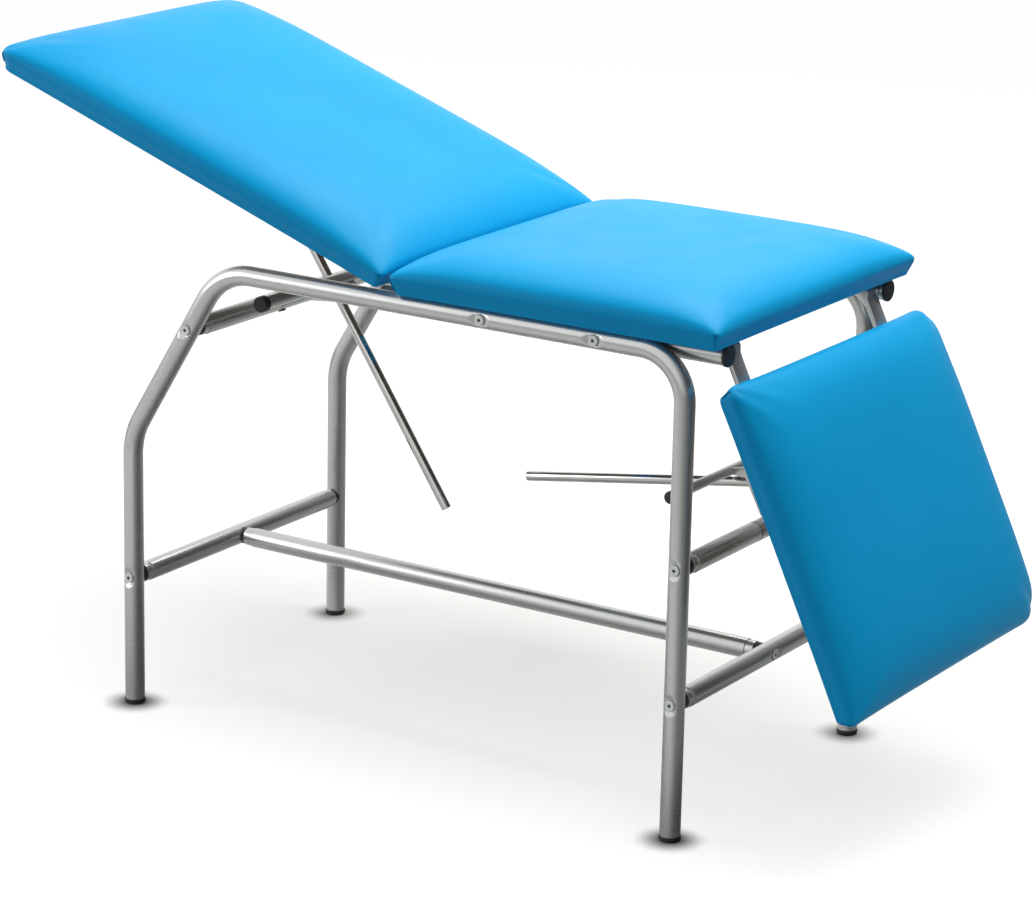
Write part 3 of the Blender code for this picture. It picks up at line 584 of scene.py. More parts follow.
def makeSideFrames(settings):
    kink, rail, r = settings["kinkHeight"], settings["railHeight"], settings["tube"]
    corners = [
        (settings["headLeg"], settings["footTop"]),
        (settings["headLeg"], kink),
        (settings["headLeg"] + (rail - kink) * math.tan(leaning), rail),
        (settings["footLeg"], rail),
        (settings["footLeg"], settings["footTop"]),
    ]
    screws = [(x, z, along) for label, x, z, along in legScrews]
    screws += [(x, rail, (1, 0, 0)) for x in settings["railScrews"]]
    path = bentPath(corners, settings["bends"], settings["bendStep"])
    spots = [(x, z) for x, z, along in screws]
    path = denserPath(path, spots, pocketSettings["reach"], pocketSettings["step"])
    for side, sign in sideSigns:
        y = sign * settings["halfWidth"]
        bm = sweepTube(path, r, y, settings["sides"])
        for x, z, along in screws:
            pressPocket(bm.verts, (x, y, z), along, (0, sign, 0), r, pocketSettings)
        settle(f"{side}BentTube", bm, "silverPaint", [f"side_frame_{side}"])


makeSideFrames(couch)
print("side frames made")


# Black plugs under the legs, with a groove round them
plugSettings = {
    "radius": 0.01725, "height": 0.008, "groove": 0.0006, "marks": (0.55, 0.62, 0.66, 0.74, 0.78),
    "spigot": 0.0136, "depth": 0.016, "chamfer": 0.0012, "ease": 0.0011,
}


def makePlugs(settings):
    r, h, spigot = settings["radius"], settings["height"], settings["spigot"]
    dip, top = r - settings["groove"], h + settings["depth"]
    a, b, c, d, e = [h * mark for mark in settings["marks"]]
    profile = eased([
        (0.0, 0.0), (0.0, r - settings["chamfer"]), (a, r), (b, r), (c, dip), (d, dip), (e, r), (h, r),
        (h, spigot), (top, spigot), (top, 0.0)], settings["ease"])
    for end, x, outward in legEnds:
        for side, sign in sideSigns:
            place = Matrix.Translation((x, sign * couch["halfWidth"], 0.0))
            name, node = f"{side}{end.title()}Plug", f"foot_plug_{end}_{side}"
            turnedPiece(name, profile, place, "blackPlastic", [node])


# Seat tubes with the back hinge's lugs, and their black caps
seatTubeSettings = {
    "start": -0.0770, "end": 0.5238, "side": 0.2489, "bore": 0.014, "open": (0.045, 0.01), "ease": 0.0007,
}
seatCapSettings = {
    "radius": 0.01725, "thick": 0.0053, "gap": 0.0003, "spigot": 0.0135, "depth": 0.008,
    "chamfer": (0.0006, 0.0012), "dome": (0.0004, 0.006), "ease": 0.0009,
}
lugSettings = {"span": (0.2294, 0.2344), "eye": 0.007, "root": 0.014, "sunk": 0.004, "ease": 0.0006}
hingeSettings = {"back": (-0.0420, 0.7731), "leg": (0.5085, 0.7503), "backTurn": 19.0, "legTurn": 64.3}


def makeSeatCaps(settings):
    r, t, gap = settings["radius"], settings["thick"], settings["gap"]
    spigot, depth = settings["spigot"], settings["depth"]
    fall, inward = settings["chamfer"]
    rise, flat = settings["dome"]
    profile = eased([
        (-depth, 0.0), (-depth, spigot), (gap, spigot), (gap, r), (t - fall, r), (t, r - inward),
        (t + rise, flat), (t + rise, 0.0)], settings["ease"])
    for side, sign in sideSigns:
        spot = (seatTubeSettings["end"], sign * seatTubeSettings["side"], couch["railHeight"])
        place = axisPlace(spot, (1, 0, 0))
        turnedPiece(f"{side}SeatCap", profile, place, "blackPlastic", [f"seat_cap_{side}"])


def makeSeatTubes(settings, lug):
    length, r, bore = settings["end"] - settings["start"], couch["tube"], settings["bore"]
    first, last = settings["open"][0], length - settings["open"][1]
    profile = eased([
        (first, 0.0), (first, bore), (0.0, bore), (0.0, r), (length, r), (length, bore), (last, bore),
        (last, 0.0)], settings["ease"])
    hx, hz = hingeSettings["back"]
    drop = couch["railHeight"] - lug["sunk"] - hz
    outline = arcPoints(0.0, 0.0, lug["eye"], 0.0, 180.0, 16) + [(-lug["root"], drop), (lug["root"], drop)]
    for side, sign in sideSigns:
        spot = (settings["start"], sign * settings["side"], couch["railHeight"])
        bm = turnShape(bmesh.new(), profile, axisPlace(spot, (1, 0, 0)))
        plateShape(bm, outline, lug["span"], Matrix.Translation((hx, 0.0, hz)), lug["ease"], sign)
        settle(f"{side}SeatTube", bm, "silverPaint", [f"seat_tube_{side}"])


makePlugs(plugSettings)
makeSeatCaps(seatCapSettings)
makeSeatTubes(seatTubeSettings, lugSettings)


# Cross tubes and stretcher, with turned-down collars; groove is (depth, near, far)
crossSettings = {
    "half": 0.2616,
    "collar": 0.0147,
    "collarLength": 0.014,
    "groove": (0.0005, 0.0010, 0.0012),
    "ease": 0.0005,
    "axle": 0.011,
    "headSleeve": 0.0583,
    "footSleeve": 0.0603,
    "stretcherHalf": 0.4889,
}


def crossProfile(half, sleeve, settings, dense=False):
    r, c, step = couch["tube"], settings["collar"], half - settings["collarLength"]
    deep, near, far = settings["groove"]
    left = [
        (-half, 0.0), (-half, c), (-step - far, c), (-step - near, c - deep), (-step, c - deep), (-step, r)]
    right = [(-along, radius) for along, radius in reversed(left)]
    middle = []
    if sleeve:
        a = settings["axle"]
        middle = [(-sleeve, r), (-sleeve, a), (sleeve, a), (sleeve, r)]
    profile = eased(left + middle + right, settings["ease"])
    if dense:
        count = round(pocketSettings["reach"] / pocketSettings["step"])
        marks = [(k * pocketSettings["step"], r) for k in range(-count, count + 1)]
        edge = pocketSettings["reach"] + 0.0001
        profile = [p for p in profile if p[0] < -edge] + marks + [p for p in profile if p[0] > edge]
    return profile


def makeCrossTubes(settings):
    low = crossProfile(settings["half"], 0.0, settings, True)
    for end, x, outward in legEnds:
        spot = (x, 0.0, couch["lowHeight"])
        bm = turnShape(bmesh.new(), low, axisPlace(spot, (0, 1, 0)), couch["sides"])
        pressPocket(bm.verts, spot, (0, 1, 0), (outward, 0, 0), couch["tube"], pocketSettings)
        settle(f"{end}LowTube", bm, "silverPaint", [f"cross_low_{end}"])
    middle = ((couch["headLeg"] + couch["footLeg"]) / 2, couch["lowHeight"])
    foot = (couch["footLeg"], couch["midHeight"])
    half, long = settings["half"], settings["stretcherHalf"]
    for name, node, (x, z), run, reach, sleeve in (
            ("headUpperTube", "cross_upper_head", couch["upper"], (0, 1, 0), half, settings["headSleeve"]),
            ("footMiddleTube", "cross_mid_foot", foot, (0, 1, 0), half, settings["footSleeve"]),
            ("longStretcher", "stretcher", middle, (1, 0, 0), long, 0.0)):
        profile = crossProfile(reach, sleeve, settings)
        turnedPiece(name, profile, axisPlace((x, 0.0, z), run), "silverPaint", [node])


makeCrossTubes(crossSettings)
print("tubes made")


# Back and leg frames under the boards
backFrameSettings = {
    "eyeSide": 0.2291, "eye": 0.007, "pin": 0.0035, "pinReach": 0.0053, "length": 0.640, "drop": -0.0065,
    "toward": -1, "clevis": 0.473,
}
legFrameSettings = {
    "eyeSide": 0.23135, "eye": 0.011, "pin": 0.005, "pinReach": 0.00655, "length": 0.470, "drop": 0.0063,
    "toward": 1, "clevis": 0.256,
}
strapSettings = {
    "width": 0.034, "thick": 0.008, "crossThick": 0.006, "lap": 0.004, "gap": 0.0003, "pinRoot": 0.017,
    "ear": 0.010, "earThick": 0.005, "earSide": 0.0083, "clevisDrop": 0.020,
    "strapEase": 0.0016, "crossEase": 0.0012, "earEase": 0.0008, "pinEase": 0.0006,
}


def makeSectionFrame(name, node, body, place, settings, strap):
    r, toward, length, side = settings["eye"], settings["toward"], settings["length"], settings["eyeSide"]
    top = settings["drop"] - strap["gap"]
    bottom = top - strap["thick"]
    if toward > 0:
        outline = arcPoints(0.0, 0.0, r, 90.0, 270.0, 18)
        outline += [(r * 0.6, -r * 0.8), (r * 1.8, bottom), (length, bottom), (length, top)]
        outline += [(r * 1.8, top), (r * 0.8, r * 0.6)]
    else:
        outline = arcPoints(0.0, 0.0, r, 90.0, -90.0, 18)
        outline += [(-r * 0.6, bottom), (-r * 1.6, bottom), (-length, bottom), (-length, top)]
        outline += [(-r, top), (-r, r * 0.2)]
    pin = barProfile(side - strap["pinRoot"], side + settings["pinReach"], settings["pin"], strap["pinEase"])
    bm = bmesh.new()
    for sign in (-1, 1):
        plateShape(bm, outline, (side, side - strap["width"]), place, strap["strapEase"], sign)
        turnShape(bm, pin, place @ axisPlace((0, 0, 0), (0, sign, 0)), 32)
    inner = side - strap["width"] + strap["lap"]
    x, edge = toward * settings["clevis"], strap["width"] / 2
    thin = (strap["thick"] - strap["crossThick"]) / 2
    low, high = bottom + thin, top - thin
    outline = [(x - edge, low), (x + edge, low), (x + edge, high), (x - edge, high)]
    plateShape(bm, outline, (-inner, inner), place, strap["crossEase"])
    wide, root = strap["ear"], bottom + strap["thick"] / 2
    ear = arcPoints(x, bottom - strap["clevisDrop"], wide, 180.0, 360.0, 20)
    ear += [(x + wide, root), (x - wide, root)]
    span = (strap["earSide"], strap["earSide"] + strap["earThick"])
    for sign in (-1, 1):
        plateShape(bm, ear, span, place, strap["earEase"], sign)
    settle(name, bm, "silverPaint", [node], body)


backPlace = swingPlace(hingeSettings["back"], hingeSettings["backTurn"])
legPlace = swingPlace(hingeSettings["leg"], hingeSettings["legTurn"])
makeSectionFrame("backCradle", "back_frame", "back", backPlace, backFrameSettings, strapSettings)
makeSectionFrame("legCradle", "leg_frame", "leg", legPlace, legFrameSettings, strapSettings)


# Support rods, clamps on the swivel sleeves and release bars
supportSettings = {
    "head": {
        "rodStart": (-0.50056, 0.89419), "rodRun": (0.56259, -0.82673), "rodLength": 0.672, "offset": 0.0755,
        "sleeve": 0.058, "centre": couch["upper"], "hand": 1,
        "bar": 0.011, "barLength": 0.444, "barClear": 0.0055, "barAlong": 0.018, "leverSide": -1,
    },
    "foot": {
        "rodStart": (0.599693, 0.510084), "rodRun": (-0.98800, -0.15443), "rodLength": 0.5745,
        "offset": 0.0636, "sleeve": 0.060, "centre": (couch["footLeg"], couch["midHeight"]), "hand": -1,
        "bar": 0.008, "barLength": 0.382, "barClear": 0.0042, "barAlong": 0.059, "leverSide": 1,
    },
    "rod": 0.008, "rodRoot": 0.004, "rodBore": 0.0066, "rodHollow": 0.09, "rodPin": 0.0153, "eye": 0.010,
    "eyeEase": 0.0012, "pipeEase": 0.0005, "pin": 0.004, "pinEase": 0.0006,
    "sleeveGap": 0.0008, "sleeveBore": (0.0112, 0.006), "sleeveEase": 0.0007,
    "cheek": (0.0088, 0.0128), "cheekRoot": (0.0025, 0.8), "cheekEase": 0.0008,
    "lever": (0.0131, 0.0171), "leverEye": 0.009, "leverLength": 0.032, "leverSet": 0.002, "leverGap": 0.0003,
    "leverSunk": 0.0008, "leverEase": 0.0006,
    "ring": (0.0009, 0.0002), "ringEase": 0.0002,
    "plug": (-0.046, (0.30, 0.0, -0.95)), "plugSize": (0.0064, 0.0026), "plugEase": 0.0006,
    "ferrule": 0.014, "ferruleWall": 0.0018, "ferrulePast": 0.0028, "ferruleEase": 0.0006,
    "ribs": 4, "ribStart": 0.0022, "ribStep": 0.0024, "ribDeep": 0.0006, "ribMarks": (0.0003, 0.0008, 0.0011),
}
acrossRun = (0, 1, 0)


def makeRod(end, shared):
    own, r, bore = shared[end], shared["rod"], shared["rodBore"]
    start = Vector((own["rodStart"][0], 0.0, own["rodStart"][1]))
    run = Vector((own["rodRun"][0], 0.0, own["rodRun"][1])).normalized()
    root, tip, hollow = shared["rodRoot"], own["rodLength"], own["rodLength"] - shared["rodHollow"]
    profile = eased([
        (root, 0.0), (root, r), (tip, r), (tip, bore), (hollow, bore), (hollow, 0.0)], shared["pipeEase"])
    bm = turnShape(bmesh.new(), profile, axisPlace(start, run), 64)
    turnShape(bm, barProfile(-r, r, shared["eye"], shared["eyeEase"]), axisPlace(start, acrossRun), 48)
    pin = barProfile(-shared["rodPin"], shared["rodPin"], shared["pin"], shared["pinEase"])
    turnShape(bm, pin, axisPlace(start, acrossRun), 32)
    settle(f"{end}ChromeRod", bm, "chromePlate", [f"{end}_rod"], f"{end}_rod_body")


def clampLayout(own, shared):
    # the clamp's place, and the bar and the lever's pin in it
    hand, (x, z) = own["hand"], own["centre"]
    heading = math.atan2(own["rodRun"][1], own["rodRun"][0])
    lock = Matrix.Translation((x, 0.0, z)) @ Matrix.Rotation(-(heading + hand * math.pi / 2), 4, "Y")
    beside = own["offset"] + shared["rod"] + own["barClear"]
    barX, barZ = beside + own["bar"], -hand * own["barAlong"]
    pinX = max(barX - shared["leverSet"], beside + shared["pin"] + shared["leverGap"])
    pinZ = barZ + hand * own["leverSide"] * math.sqrt(shared["leverLength"] ** 2 - (barX - pinX) ** 2)
    return lock, (barX, barZ), (pinX, pinZ)


def makeClamp(end, shared):
    own, tube, body = shared[end], couch["tube"], f"{end}_clamp_body"
    lock, bar, (pinX, pinZ) = clampLayout(own, shared)
    half, (bore, deep) = own["sleeve"] - shared["sleeveGap"], shared["sleeveBore"]
    inner = half - deep
    sleeve = eased([
        (-inner, 0.0), (-inner, bore), (-half, bore), (-half, tube), (half, tube), (half, bore),
        (inner, bore), (inner, 0.0)], shared["sleeveEase"])
    bm = turnShape(bmesh.new(), sleeve, lock @ axisPlace((0, 0, 0), acrossRun))
    sunk, share = shared["cheekRoot"]
    rootX, rootZ = tube - sunk, tube * share
    cheek = [(rootX, rootZ), (rootX, -rootZ)] + arcPoints(pinX, pinZ, shared["leverEye"], -100.0, 100.0, 20)
    for sign in (-1, 1):
        plateShape(bm, cheek, shared["cheek"], lock, shared["cheekEase"], sign)
    reach = shared["lever"][1] + shared["leverSet"]
    pin = barProfile(-reach, reach, shared["pin"], shared["pinEase"])
    turnShape(bm, pin, lock @ axisPlace((pinX, 0.0, pinZ), acrossRun), 32)
    settle(f"{end}Clamp", bm, "silverPaint", [f"{end}_clamp"], body)
    # black rings at the sleeve's ends, and the plug under the head's
    bm = bmesh.new()
    wide, proud = shared["ring"]
    ring = [(half, bore), (half, tube + proud), (half + wide, tube + proud), (half + wide, bore)]
    for sign in (-1, 1):
        turnShape(bm, eased(ring, shared["ringEase"]), lock @ axisPlace((0, 0, 0), (0, sign, 0)))
    if end == "head":
        spot, away = shared["plug"]
        wide, proud = shared["plugSize"]
        ease, tip = shared["plugEase"], tube + proud
        plug = eased([(0.0, 0.0), (0.0, wide), (tip - ease, wide), (tip, 0.0)], ease)
        turnShape(bm, plug, axisPlace((own["centre"][0], spot, own["centre"][1]), away), 32)
    settle(f"{end}SleeveRings", bm, "blackPlastic", (), body)


def makeReleaseBar(end, shared):
    own, body = shared[end], f"{end}_bar_body"
    lock, (barX, barZ), (pinX, pinZ) = clampLayout(own, shared)
    r, half = own["bar"], own["barLength"] / 2
    pipe = barProfile(-half, half, r, shared["pipeEase"])
    bm = turnShape(bmesh.new(), pipe, lock @ axisPlace((barX, 0.0, barZ), acrossRun))
    bx, bz = barX - pinX, barZ - pinZ
    back = math.degrees(math.atan2(-bz, -bx))
    lever = arcPoints(0.0, 0.0, shared["leverEye"], back + 270.0, back + 450.0, 18)
    lever += list(reversed(arcPoints(bx, bz, r - shared["leverSunk"], back - 48.0, back + 48.0, 10)))
    place = lock @ Matrix.Translation((pinX, 0.0, pinZ))
    for sign in (-1, 1):
        plateShape(bm, lever, shared["lever"], place, shared["leverEase"], sign)
    settle(f"{end}ReleaseBar", bm, "silverPaint", [f"{end}_release_bar"], body)
    # ribbed ferrules on the bar's ends
    outer, tip = r + shared["ferruleWall"], half + shared["ferrulePast"]
    lip, dip = tip - shared["ferrule"], outer - shared["ribDeep"]
    a, b, c = shared["ribMarks"]
    cup = [(lip, 0.0), (lip, outer - 0.0003), (lip + 0.0008, outer)]
    for k in range(shared["ribs"]):
        rib = lip + shared["ribStart"] + k * shared["ribStep"]
        cup += [(rib, outer), (rib + a, dip), (rib + b, dip), (rib + c, outer)]
    cup += [(tip - 0.0009, outer), (tip, outer - 0.0012), (tip + 0.0003, 0.0)]
    cup = eased(cup, shared["ferruleEase"])
    for side, sign in sideSigns:
        place = lock @ axisPlace((barX, 0.0, barZ), (0, sign, 0))
        name, node = f"{side}{end.title()}Ferrule", f"{end}_bar_cap_{side}"
        turnedPiece(name, cup, place, "blackPlastic", [node], body)


for supportEnd in ("head", "foot"):
    makeRod(supportEnd, supportSettings)
    makeClamp(supportEnd, supportSettings)
    makeReleaseBar(supportEnd, supportSettings)
print("supports made")


# Screws and saddles, set out by nodes
screwSettings = {
    "head": {"Head": 0.0165, "Height": 0.0028, "Socket": 0.0060, "Deep": 0.0042},
    "socket": {"Radius": 0.0029, "Deep": 0.0020},
    "lift": 0.0014,
    "smooth": 30.0,
}
saddleSettings = {"Radius": 0.0136, "Thick": 0.0030, "Hug": 0.0161}


def newTree(name, sizes):
    tree = bpy.data.node_groups.new(name, "GeometryNodeTree")
    tree.interface.new_socket("Geometry", in_out="INPUT", socket_type="NodeSocketGeometry")
    for label, value in sizes.items():
        socket = tree.interface.new_socket(label, in_out="INPUT", socket_type="NodeSocketFloat")
        socket.default_value = value
    tree.interface.new_socket("Finish", in_out="INPUT", socket_type="NodeSocketMaterial")
    tree.interface.new_socket("Geometry", in_out="OUTPUT", socket_type="NodeSocketGeometry")
    return tree, tree.nodes.new("NodeGroupInput").outputs


def setOut(tree, given, instance, rolled=False):
    # one copy on each spot, turned outward and, if rolled, along
    def spotVector(label):
        named = addNode(tree, "GeometryNodeInputNamedAttribute", {"Name": label}, data_type="FLOAT_VECTOR")
        return named.outputs[0]

    turn = addNode(tree, "FunctionNodeAlignRotationToVector", {"Vector": spotVector("outward")}, axis="Z")
    if rolled:
        turn = addNode(tree, "FunctionNodeAlignRotationToVector", {
            "Rotation": turn.outputs[0], "Vector": spotVector("along")}, axis="Y", pivot_axis="Z")
    spread = addNode(tree, "GeometryNodeInstanceOnPoints", {
        "Points": given["Geometry"], "Instance": instance, "Rotation": turn.outputs[0]})
    real = addNode(tree, "GeometryNodeRealizeInstances", {"Geometry": spread.outputs[0]})
    dressed = addNode(tree, "GeometryNodeSetMaterial", {
        "Geometry": real.outputs[0], "Material": given["Finish"]})
    addNode(tree, "NodeGroupOutput", {"Geometry": dressed.outputs[0]})
    return tree


def makeScrewTree(sizes):
    tree, given = newTree("socketScrews", sizes)
    chamfer, sixth = 0.92, math.pi / 3

    def extrude(mesh, top, offset):
        return addNode(tree, "GeometryNodeExtrudeMesh", {
            "Mesh": mesh, "Selection": top, "Offset Scale": offset, "Individual": False}).outputs

    def narrow(mesh, top, scale):
        return addNode(tree, "GeometryNodeScaleElements", {
            "Geometry": mesh, "Selection": top, "Scale": scale}).outputs["Geometry"]

    radius = mathNode(tree, "MULTIPLY", given["Head"], 0.5)
    wall = mathNode(tree, "MULTIPLY", given["Height"], 0.65)
    rise = mathNode(tree, "MULTIPLY", given["Height"], 0.35)
    drum = addNode(tree, "GeometryNodeMeshCylinder", {
        "Vertices": 36, "Radius": radius, "Depth": wall}).outputs
    crown = extrude(drum["Mesh"], drum["Top"], rise)
    rim = extrude(narrow(crown["Mesh"], crown["Top"], chamfer), crown["Top"], 0.0)
    share = mathNode(tree, "DIVIDE", given["Socket"], mathNode(tree, "MULTIPLY", given["Head"], chamfer))
    inner = narrow(rim["Mesh"], rim["Top"], share)
    # the round inner edge becomes a six-sided key hole
    spot = addNode(tree, "GeometryNodeInputPosition").outputs[0]
    parts = addNode(tree, "ShaderNodeSeparateXYZ", {"Vector": spot}).outputs
    angle = mathNode(tree, "ARCTAN2", parts["Y"], parts["X"])
    wrapped = mathNode(tree, "SUBTRACT", mathNode(tree, "FLOORED_MODULO", angle, sixth), sixth / 2)
    flat = mathNode(tree, "DIVIDE", math.cos(sixth / 2), mathNode(tree, "COSINE", wrapped))
    grow = addNode(tree, "ShaderNodeCombineXYZ", {"X": flat, "Y": flat, "Z": 1.0}).outputs[0]
    hexed = vectorNode(tree, "MULTIPLY", spot, grow)["Vector"]
    key = addNode(tree, "GeometryNodeSetPosition", {
        "Geometry": inner, "Selection": rim["Top"], "Position": hexed}).outputs[0]
    bowl = extrude(key, rim["Top"], mathNode(tree, "MULTIPLY", given["Deep"], -1.0))
    return setOut(tree, given, bowl["Mesh"])


def makeSocketShadeTree(sizes):
    # painted shade: a black six-sided disc at the bottom of the key hole, where the deep socket is in shade
    tree, given = newTree("screwSocketShades", sizes)
    well = addNode(tree, "GeometryNodeMeshCylinder", {
        "Vertices": 6, "Radius": given["Radius"], "Depth": given["Deep"]})
    return setOut(tree, given, well.outputs["Mesh"])


def makeSaddleTree(sizes):
    # a disc with its top hollowed to hug the tube
    tree, given = newTree("tubeSaddles", sizes)
    puck = addNode(tree, "GeometryNodeMeshCylinder", {
        "Vertices": 48, "Fill Segments": 6, "Radius": given["Radius"], "Depth": given["Thick"]}).outputs
    spot = addNode(tree, "GeometryNodeInputPosition").outputs[0]
    parts = addNode(tree, "ShaderNodeSeparateXYZ", {"Vector": spot}).outputs
    x, y, hug = parts["X"], parts["Y"], given["Hug"]
    hugSquare, xSquare = mathNode(tree, "MULTIPLY", hug, hug), mathNode(tree, "MULTIPLY", x, x)
    square = mathNode(tree, "SUBTRACT", hugSquare, xSquare)
    sag = mathNode(tree, "SUBTRACT", hug, mathNode(tree, "SQRT", square))
    lifted = mathNode(tree, "ADD", parts["Z"], sag)
    place = addNode(tree, "ShaderNodeCombineXYZ", {"X": x, "Y": y, "Z": lifted}).outputs[0]
    hollow = addNode(tree, "GeometryNodeSetPosition", {
        "Geometry": puck["Mesh"], "Selection": puck["Top"], "Position": place})
    return setOut(tree, given, hollow.outputs[0], True)


def growPiece(name, tree, spots, finish, nodes=(), body="base", smooth=38.0):
    # spots: (place, outward, along) for each copy
    mesh = bpy.data.meshes.new(name + "Spots")
    mesh.from_pydata([spot[0] for spot in spots], [], [])
    for k, label in ((1, "outward"), (2, "along")):
        layer = mesh.attributes.new(label, "FLOAT_VECTOR", "POINT")
        for i, spot in enumerate(spots):
            layer.data[i].vector = spot[k]
    holder = linkObject(name + "Spots", mesh)
    modifier = holder.modifiers.new(name, "NODES")
    modifier.node_group = tree
    for item in tree.interface.items_tree:
        if item.in_out == "INPUT" and item.name == "Finish":
            modifier[item.identifier] = finishes[finish]
    solid = bpy.data.meshes.new_from_object(holder.evaluated_get(bpy.context.evaluated_depsgraph_get()))
    bpy.data.objects.remove(holder)
    bm = bmesh.new()
    bm.from_mesh(solid)
    bpy.data.meshes.remove(solid)
    settle(name, bm, finish, nodes, body, smooth)


def makeScrews(settings):
    seat = couch["tube"] - pocketSettings["depth"] - pocketSettings["wellDepth"] + settings["lift"]
    spots, nodes = [], []
    for side, sign in sideSigns:
        y = sign * (couch["halfWidth"] + seat)
        places = [(label, x, z) for label, x, z, along in legScrews]
        places += [(f"rail_{k + 1}", x, couch["railHeight"]) for k, x in enumerate(couch["railScrews"])]
        for label, x, z in places:
            spots.append(((x, y, z), (0, sign, 0), upright))
            nodes.append(f"screw_{label}_{side}")
    for end, x, outward in legEnds:
        spots.append(((x + outward * seat, 0.0, couch["lowHeight"]), (outward, 0, 0), upright))
        nodes.append(f"bolt_stretcher_{end}")
    heads, socketShades = makeScrewTree(settings["head"]), makeSocketShadeTree(settings["socket"])
    growPiece("socketScrews", heads, spots, "zincScrew", nodes, smooth=settings["smooth"])
    # painted shade: black discs in the screws' key holes
    growPiece("screwSocketShades", socketShades, spots, "blackPlastic")


def makeSaddles(sizes):
    middle = couch["saddle"] - sizes["Thick"] / 2
    spots, nodes = [], []
    for side, sign in sideSigns:
        for label, x, z, along in legScrews:
            spots.append(((x, sign * (couch["halfWidth"] - middle), z), (0, sign, 0), along))
            nodes.append(f"saddle_{label}_{side}")
    for end, x, outward in legEnds:
        spots.append(((x - outward * middle, 0.0, couch["lowHeight"]), (outward, 0, 0), (0, 1, 0)))
        nodes.append(f"saddle_stretcher_{end}")
    growPiece("tubeSaddles", makeSaddleTree(sizes), spots, "blackPlastic", nodes)


makeScrews(screwSettings)
makeSaddles(saddleSettings)
print("screws and saddles made")


# Pads: crowned vinyl over foam, filled by a short cloth run, bottom held on the board
padSettings = {
    "halfWidth": 0.3125, "edge": 0.0290, "draw": 0.0025, "tuck": 0.011, "board": 0.0327, "recess": 0.0123,
    "cells": 0.0105, "bunch": 0.62, "cap": 0.0022, "smooth": 60.0, "cornerEase": (0.7, 0.005),
    "flanks": ((0.0008, 0.84), (0.0034, 0.62), (0.0070, 0.38), (0.0104, 0.16)),
    "shapes": {
        "back": {
            "half": 0.3990, "crown": 0.0462, "corner": (0.032, 0.030, 0.014, 0.014), "round": (4.8, 5.6),
            "body": "back", "place": backPlace @ Matrix.Translation((-0.4030, 0.0, -0.0065))},
        "seat": {
            "half": 0.2900, "crown": 0.0440, "corner": (0.014, 0.014, 0.014, 0.014), "round": (4.8, 6.0),
            "body": "base", "place": Matrix.Translation((0.2555, 0.0, 0.7666))},
        "leg": {
            "half": 0.26175, "crown": 0.0385, "corner": (0.022, 0.048, 0.013, 0.062), "round": (4.4, 5.6),
            "body": "leg", "place": legPlace @ Matrix.Translation((0.30825, 0.0, 0.0063))},
    },
}
clothSettings = {
    "quality": 6, "mass": 0.25, "tension_stiffness": 22.0, "compression_stiffness": 18.0,
    "shear_stiffness": 8.0, "bending_stiffness": 1.2, "use_pressure": True, "uniform_pressure_force": 4.0,
    "vertex_group_mass": "held",
}
clothSteps = 20


def padOutline(x, y, own, inset, settings):
    # x and y run from -1 to 1; corners rounded each by its own radius, sides drawn in between them
    hl, hw = own["half"] - inset, settings["halfWidth"] - inset
    px, py = x * hl, y * hw
    draw = settings["draw"] if inset < settings["board"] - 0.007 else 0.0
    px -= math.copysign(draw * abs(x) ** 6 * (1 - abs(y) ** 4), x)
    py -= math.copysign(draw * abs(y) ** 6 * (1 - abs(x) ** 4), y)
    share, least = settings["cornerEase"]
    r = own["corner"][(2 if px > 0 else 0) + (1 if py > 0 else 0)]
    r = max(r - inset * share, least)
    dx, dy = abs(px) - (hl - r), abs(py) - (hw - r)
    if dx > 0 and dy > 0:
        shrink = max(dx, dy) / math.hypot(dx, dy)
        px = math.copysign(hl - r + dx * shrink, px)
        py = math.copysign(hw - r + dy * shrink, py)
    return px, py


